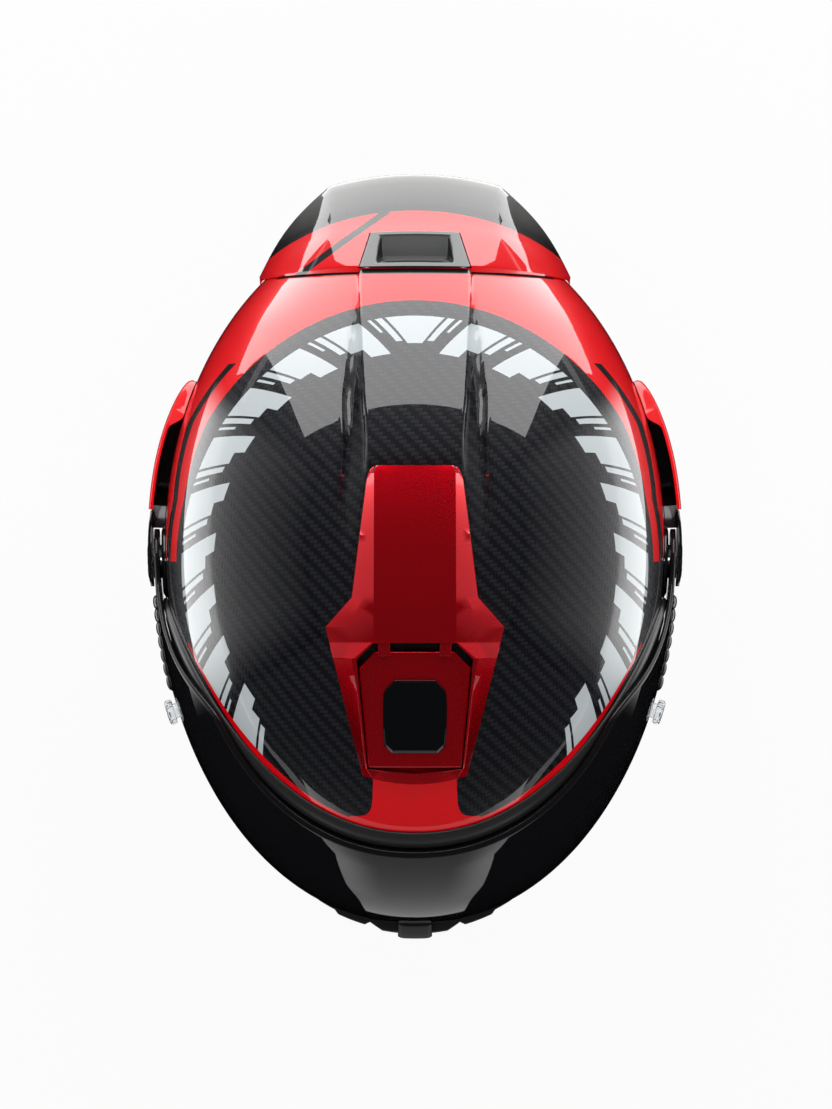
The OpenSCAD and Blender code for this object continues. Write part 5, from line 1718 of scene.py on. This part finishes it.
def guard_stops(u):
    t = mix(-24, 24, u)
    top = GUARD_RISE * np.sqrt(np.maximum(0, np.cos(np.radians(3 * t))) + 0.05)

    def at(k, deep):
        rib = 0.4 * np.sin(u * np.pi * 9) ** 2 * np.sin(np.pi * k)
        d = FOAM_OUT + CHIN_FOAM_T - 0.9 + GUARD_LEAN * k + deep - rib * (deep == 0)
        return skin(t, mix(GUARD_FOOT, GUARD_END + top, k), -d)
    ks = np.linspace(0, 1, 9)
    return [at(k, 0) for k in ks] + [at(0.995, GUARD_T)] + [at(k, GUARD_T) for k in ks[-2::-1]] + [at(0, 0)]


SOFT_RUBBER = rubber("soft_rubber", 0.014, 0.6)
finish_piece(closed(loft(72, guard_stops)), "breath_guard_soft", "shell", SOFT_RUBBER,
             ["breath_guard"], sharp=50)

# %% [markdown]
# ## Chin strap
#
# The webbing is folded over the D-rings on one side and hangs free on the other. Each strap is
# a line of points in one plane, with a ribbon led along it; its edges are rounded and stitch
# rows stand on the doubled ends.

# %% Webbing
STRAP_Y, ANCHOR_Z, STRAP_W, STRAP_T = CROWN_Y - 22, 58, 24, 1.6
RING_X, RING_Z, LOOP_R = 64, 12, 4
STRAP_D = WEBBING_D + 1.8


def inside_x(z):
    return float(on_shell(angle_at(STRAP_Y, z), float(z))[0]) - STRAP_D - STRAP_T / 2


def strap_wave(x):
    return STRAP_T / 2 + 0.5 + 1.2 * math.sin(math.radians(2.4 * x)) ** 2


def ribbon(line, closed_line=False):
    """Webbing led along a line of (x, z) points, with its ribs in the UV map."""
    line = np.array(line, float)
    run = np.concatenate([[0], np.cumsum(np.linalg.norm(np.diff(line, axis=0), axis=1))])
    half, thick = STRAP_W / 2, STRAP_T / 2
    profile = [(-half + 0.5, thick), (half - 0.5, thick), (half - 0.1, thick * 0.6), (half, 0), (half - 0.1, -thick * 0.6),
               (half - 0.5, -thick), (-half + 0.5, -thick), (-half + 0.1, -thick * 0.6), (-half, 0),
               (-half + 0.1, thick * 0.6), (-half + 0.5, thick)]

    def stops_at(u):
        s = u * run[-1]
        x, z = (np.interp(s, run, line[:, i]) for i in (0, 1))
        ahead, behind = np.minimum(s + 0.8, run[-1]), np.maximum(s - 0.8, 0)
        dx = np.interp(ahead, run, line[:, 0]) - np.interp(behind, run, line[:, 0])
        dz = np.interp(ahead, run, line[:, 1]) - np.interp(behind, run, line[:, 1])
        size = np.maximum(np.hypot(dx, dz), 1e-6)
        return [stack(x - dz / size * d, STRAP_Y + y, z + dx / size * d) for y, d in profile]
    cols = max(12, round(run[-1] / 1.5))
    bm = loft(cols, stops_at, 1, run[-1] * MM, 2 * STRAP_W * MM)
    return closed(bm), run[-1]


def stitches(line, start, end):
    """Rows of thread that stand on the webbing from start to end along its line."""
    line = np.array(line, float)
    run = np.concatenate([[0], np.cumsum(np.linalg.norm(np.diff(line, axis=0), axis=1))])
    bm = bmesh.new()
    for y in (-9, 9):
        for s in np.arange(start, end, 2.6):
            x, z = (np.interp(s, run, line[:, i]) for i in (0, 1))
            dx, dz = (np.interp(s + 0.5, run, line[:, i]) - np.interp(s - 0.5, run, line[:, i]) for i in (0, 1))
            made = bmesh.ops.create_icosphere(bm, subdivisions=1, radius=0.5 * MM)["verts"]
            bmesh.ops.scale(bm, vec=(2.0, 0.8, 0.6), verts=made)
            bmesh.ops.rotate(bm, matrix=Matrix.Rotation(-math.atan2(dz, dx), 3, "Y"), verts=made)
            lift = STRAP_T / 2
            size = math.hypot(dx, dz)
            place = Vector((x + dz / size * lift, STRAP_Y + y, z - dx / size * lift)) * MM
            bmesh.ops.translate(bm, vec=place, verts=made)
    bm.loops.layers.uv.new("weave")
    return bm


drop = [(inside_x(z), z) for z in (ANCHOR_Z, 50, 44, 38, 32, 27, 22)]
turn = 22 - RING_Z
short_line = drop + [(inside_x(22) - turn * (1 - math.cos(math.radians(a))), 22 - turn * math.sin(math.radians(a)))
                     for a in range(10, 91, 10)] + [(RING_X + LOOP_R + STRAP_T / 2, RING_Z)]
loop_line = [(RING_X + (LOOP_R + STRAP_T / 2) * math.cos(math.radians(a)),
              RING_Z + (LOOP_R + STRAP_T / 2) * math.sin(math.radians(a))) for a in range(0, 361, 12)]
lie = STRAP_T / 2 + 0.5
turn = 22 - lie
long_line = drop + [(inside_x(22) - 18 * (1 - math.cos(math.radians(a))), 22 - turn * math.sin(math.radians(a)))
                    for a in range(10, 91, 10)] + [(x, strap_wave(x)) for x in range(60, -31, -5)]
short, short_length = ribbon(short_line)
loop, loop_length = ribbon(loop_line)
long, long_length = ribbon(long_line)
print("webbing:", round(short_length + loop_length), "and", round(long_length), "mm")
finish_piece(short, "strap_short", "shell", STRAP_WEB, ["strap_left"], sharp=50)
finish_piece(loop, "strap_loop", "shell", STRAP_WEB, sharp=50)
finish_piece(mirrored(long), "strap_long", "shell", STRAP_WEB, ["strap_right"], sharp=50)
THREAD = plastic("thread", (0.10, 0.10, 0.11), 0.6, 0.2)
finish_piece(stitches(short_line, 8, 26), "stitches_short", "shell", THREAD)
finish_piece(mirrored(stitches(long_line, 8, 26)), "stitches_long", "shell", THREAD)

# %% [markdown]
# The cheek pads can be pulled out from below by two red tabs, so that a helmet comes off a
# hurt rider. They are short flat straps, modelled directly.

# %% Release tabs
def tab_place(u, v):
    return skin(66 + 8.8 * u, 28.3 - 18 * v, -PAD_OUT - 8 - 10 * v - 0.3)


for name, side in (("left", 1), ("right", -1)):
    tab = lay(grid(12, 20, 0.012, 0.02), tab_place)
    bmesh.ops.recalc_face_normals(tab, faces=tab.faces)
    if side < 0:
        mirrored(tab)
    finish_piece(tab, "release_tab_web_" + name, "shell", TAB_WEB, ["release_tab_" + name], sharp=60,
                 wall=1.2, rounding=0.25)

# %% [markdown]
# ## Camera
#
# The photograph looks straight down on the crown from about two metres, so that the helmet is
# seen almost without perspective. The camera is placed by the frame: 2.06 pixels to the
# millimetre at the widest line of an 832 by 1109 picture.

# %% Camera
PIXELS_PER_M, EYE_HEIGHT = 2060, 1.85
data = bpy.data.cameras.new("camera")
data.sensor_fit = "VERTICAL"
data.sensor_height = 36
data.lens = 36 * EYE_HEIGHT * PIXELS_PER_M / 1109
camera = bpy.data.objects.new("camera", data)
camera.location = (0.0005, 0.0063, 0.130 + EYE_HEIGHT)
bpy.context.scene.collection.objects.link(camera)
bpy.context.scene.camera = camera
print("lens", round(data.lens, 1), "mm")

# %% [markdown]
# ## Lamps
#
# A large soft box behind the helmet gives most of the light, and three weaker ones fill in from
# the front and the sides. What a glossy object shows is another matter: its highlights are
# pictures of the things round it. So the lamps stay out of the reflections, and cards are set
# up for those in the next cells.

# %% Lamps
def soft_box(name, place, target, wide, high, power):
    lamp = bpy.data.lights.new(name, "AREA")
    lamp.shape = "RECTANGLE"
    lamp.size, lamp.size_y = wide, high
    lamp.energy = power
    box = bpy.data.objects.new(name, lamp)
    box.location = place
    box.rotation_euler = (Vector(target) - Vector(place)).to_track_quat("-Z", "Y").to_euler()
    box.visible_glossy = False
    bpy.context.scene.collection.objects.link(box)


soft_box("box_behind", (0, 1.03, 0.89), (0, 0.05, 0.2), 2.0, 1.45, 22)
soft_box("box_front", (0, -1.1, 1.1), (0, 0, 0.2), 1.2, 1.2, 7.5)
soft_box("box_left", (-0.95, -0.05, 0.5), (0, -0.05, 0.15), 1.2, 0.6, 3.2)
soft_box("box_right", (0.95, -0.05, 0.5), (0, -0.05, 0.15), 1.2, 0.6, 3.2)
world = bpy.data.worlds.new("studio")
bpy.context.scene.world = world
world.use_nodes = True
tree = world.node_tree
back = tree.nodes["Background"]
back.inputs["Color"].default_value = (1, 1, 1, 1)
back.inputs["Strength"].default_value = 0.05

# %% Floor
floor_bm = bmesh.new()
bmesh.ops.create_circle(floor_bm, cap_ends=True, radius=20, segments=96)
floor_mesh = bpy.data.meshes.new("floor")
floor_bm.to_mesh(floor_mesh)
floor_bm.free()
floor = bpy.data.objects.new("floor", floor_mesh)
bpy.context.scene.collection.objects.link(floor)
paper = Finish("paper", (0.80, 0.80, 0.80), 0.9)
glow = paper.node("Emission")
light_path = paper.node("LightPath")
both = paper.node("MixShader")
seen = [Sum(paper.tree, light_path.outputs[key]) for key in ("Is Camera Ray", "Is Glossy Ray", "Is Transmission Ray")]
share = (seen[0] | seen[1] | seen[2]) * 0.93
paper.link(share, both.inputs[0])
paper.link(paper.shader.outputs[0], both.inputs[1])
paper.link(glow.outputs[0], both.inputs[2])
paper.link(both.outputs[0], paper.tree.nodes["Material Output"].inputs["Surface"])
floor.data.materials.append(paper.material)
bpy.context.scene.view_settings.view_transform = "Standard"

# %% [markdown]
# ## Cards and flags
#
# The photograph shows four pale shapes in the clear coat: a wide one on the tail, which pales
# towards the spoiler's edge, a narrow one outside the crease of each shoulder, and a trapezoid
# on the visor. Each is the picture of a glowing card. Between them the coat is deep black and
# the red is pure, because a black cloth lies on the floor round the helmet. Only reflections
# see these sheets: they neither light the helmet nor shade it, and the camera looks past them.

# %% Card helper
def card(name, cols, rows, place, glow):
    """A sheet for reflections, with a brightness of glow(u, v)."""
    bm = grid(cols, rows)
    flat = np.array([v.co for v in bm.verts])
    store(bm, "glow", glow(flat[:, 0], flat[:, 1]))
    mesh = bpy.data.meshes.new(name)
    lay(bm, place).to_mesh(mesh)
    bm.free()
    sheet = bpy.data.objects.new(name, mesh)
    bpy.context.scene.collection.objects.link(sheet)
    sheet.visible_camera = sheet.visible_diffuse = sheet.visible_shadow = sheet.visible_transmission = False
    f = Finish(name, (0, 0, 0), 1.0, Specular_IOR_Level=0.0)
    f.shader.inputs["Emission Color"].default_value = (1, 1, 1, 1)
    f.link(f.measured("glow"), f.shader.inputs["Emission Strength"])
    sheet.data.materials.append(f.material)


# %% Black cloth
def cloth_place(u, v):
    a = math.tau * u
    return stack(np.cos(a) * mix(112, 3000, v), 13 + np.sin(a) * mix(168, 3000, v), 1.0)


card("black_cloth", 64, 2, cloth_place, lambda u, v: 0 * u)


# %% Card behind
def behind_place(u, v):
    y = curve(v, [(0, 300), (0.15, 500), (0.35, 1000), (0.45, 1300), (0.55, 1448), (1, 740)])
    z = curve(v, [(0, 6), (0.35, 8), (0.45, 70), (0.55, 297), (1, 1310)])
    half = curve(v, [(0, 200), (0.08, 400), (0.15, 740), (0.25, 1080), (0.35, 1300), (0.45, 1500), (0.55, 1700),
                     (0.7, 1460), (0.85, 1260), (1, 1100)])
    return stack((2 * u - 1) * half, y, z)


def behind_glow(u, v):
    return mix(4.8, 4.2, v)


card("card_behind", 4, 40, behind_place, behind_glow)


# %% Cards beside
def beside_z(v):
    return mix(100, 500, v ** 1.5)


def beside_glow(u, v):
    ends = smooth(u, 0, 0.25) * (1 - smooth(u, 0.86, 1))
    return ends * curve(beside_z(v), [(100, 3.4), (210, 3.0), (222, 1.3), (245, 0.9), (283, 0.55), (370, 0.25), (490, 0.02)])


for side in (-1, 1):
    card(f"card_beside_{'left' if side > 0 else 'right'}", 40, 60,
         lambda u, v: stack(side * 230 * np.cos(np.radians(mix(-32, 34, u))),
                            10 + 230 * np.sin(np.radians(mix(-32, 34, u))), beside_z(v)), beside_glow)


# %% Card in front
def front_place(u, v):
    y = curve(v, [(0, -235), (0.25, -345), (0.5, -610), (1, -1200)])
    half = curve(v, [(0, 38), (0.12, 58), (0.25, 92), (0.5, 225), (1, 950)])
    return stack((2 * u - 1) * half, y, 8 + 252 * smooth(v, 0.45, 1.0))


def front_glow(u, v):
    return 0.55 + 1.3 * smooth(np.abs(2 * u - 1), 0.35, 1) * smooth(v, 0.12, 0.5)


card("card_front", 40, 20, front_place, front_glow)
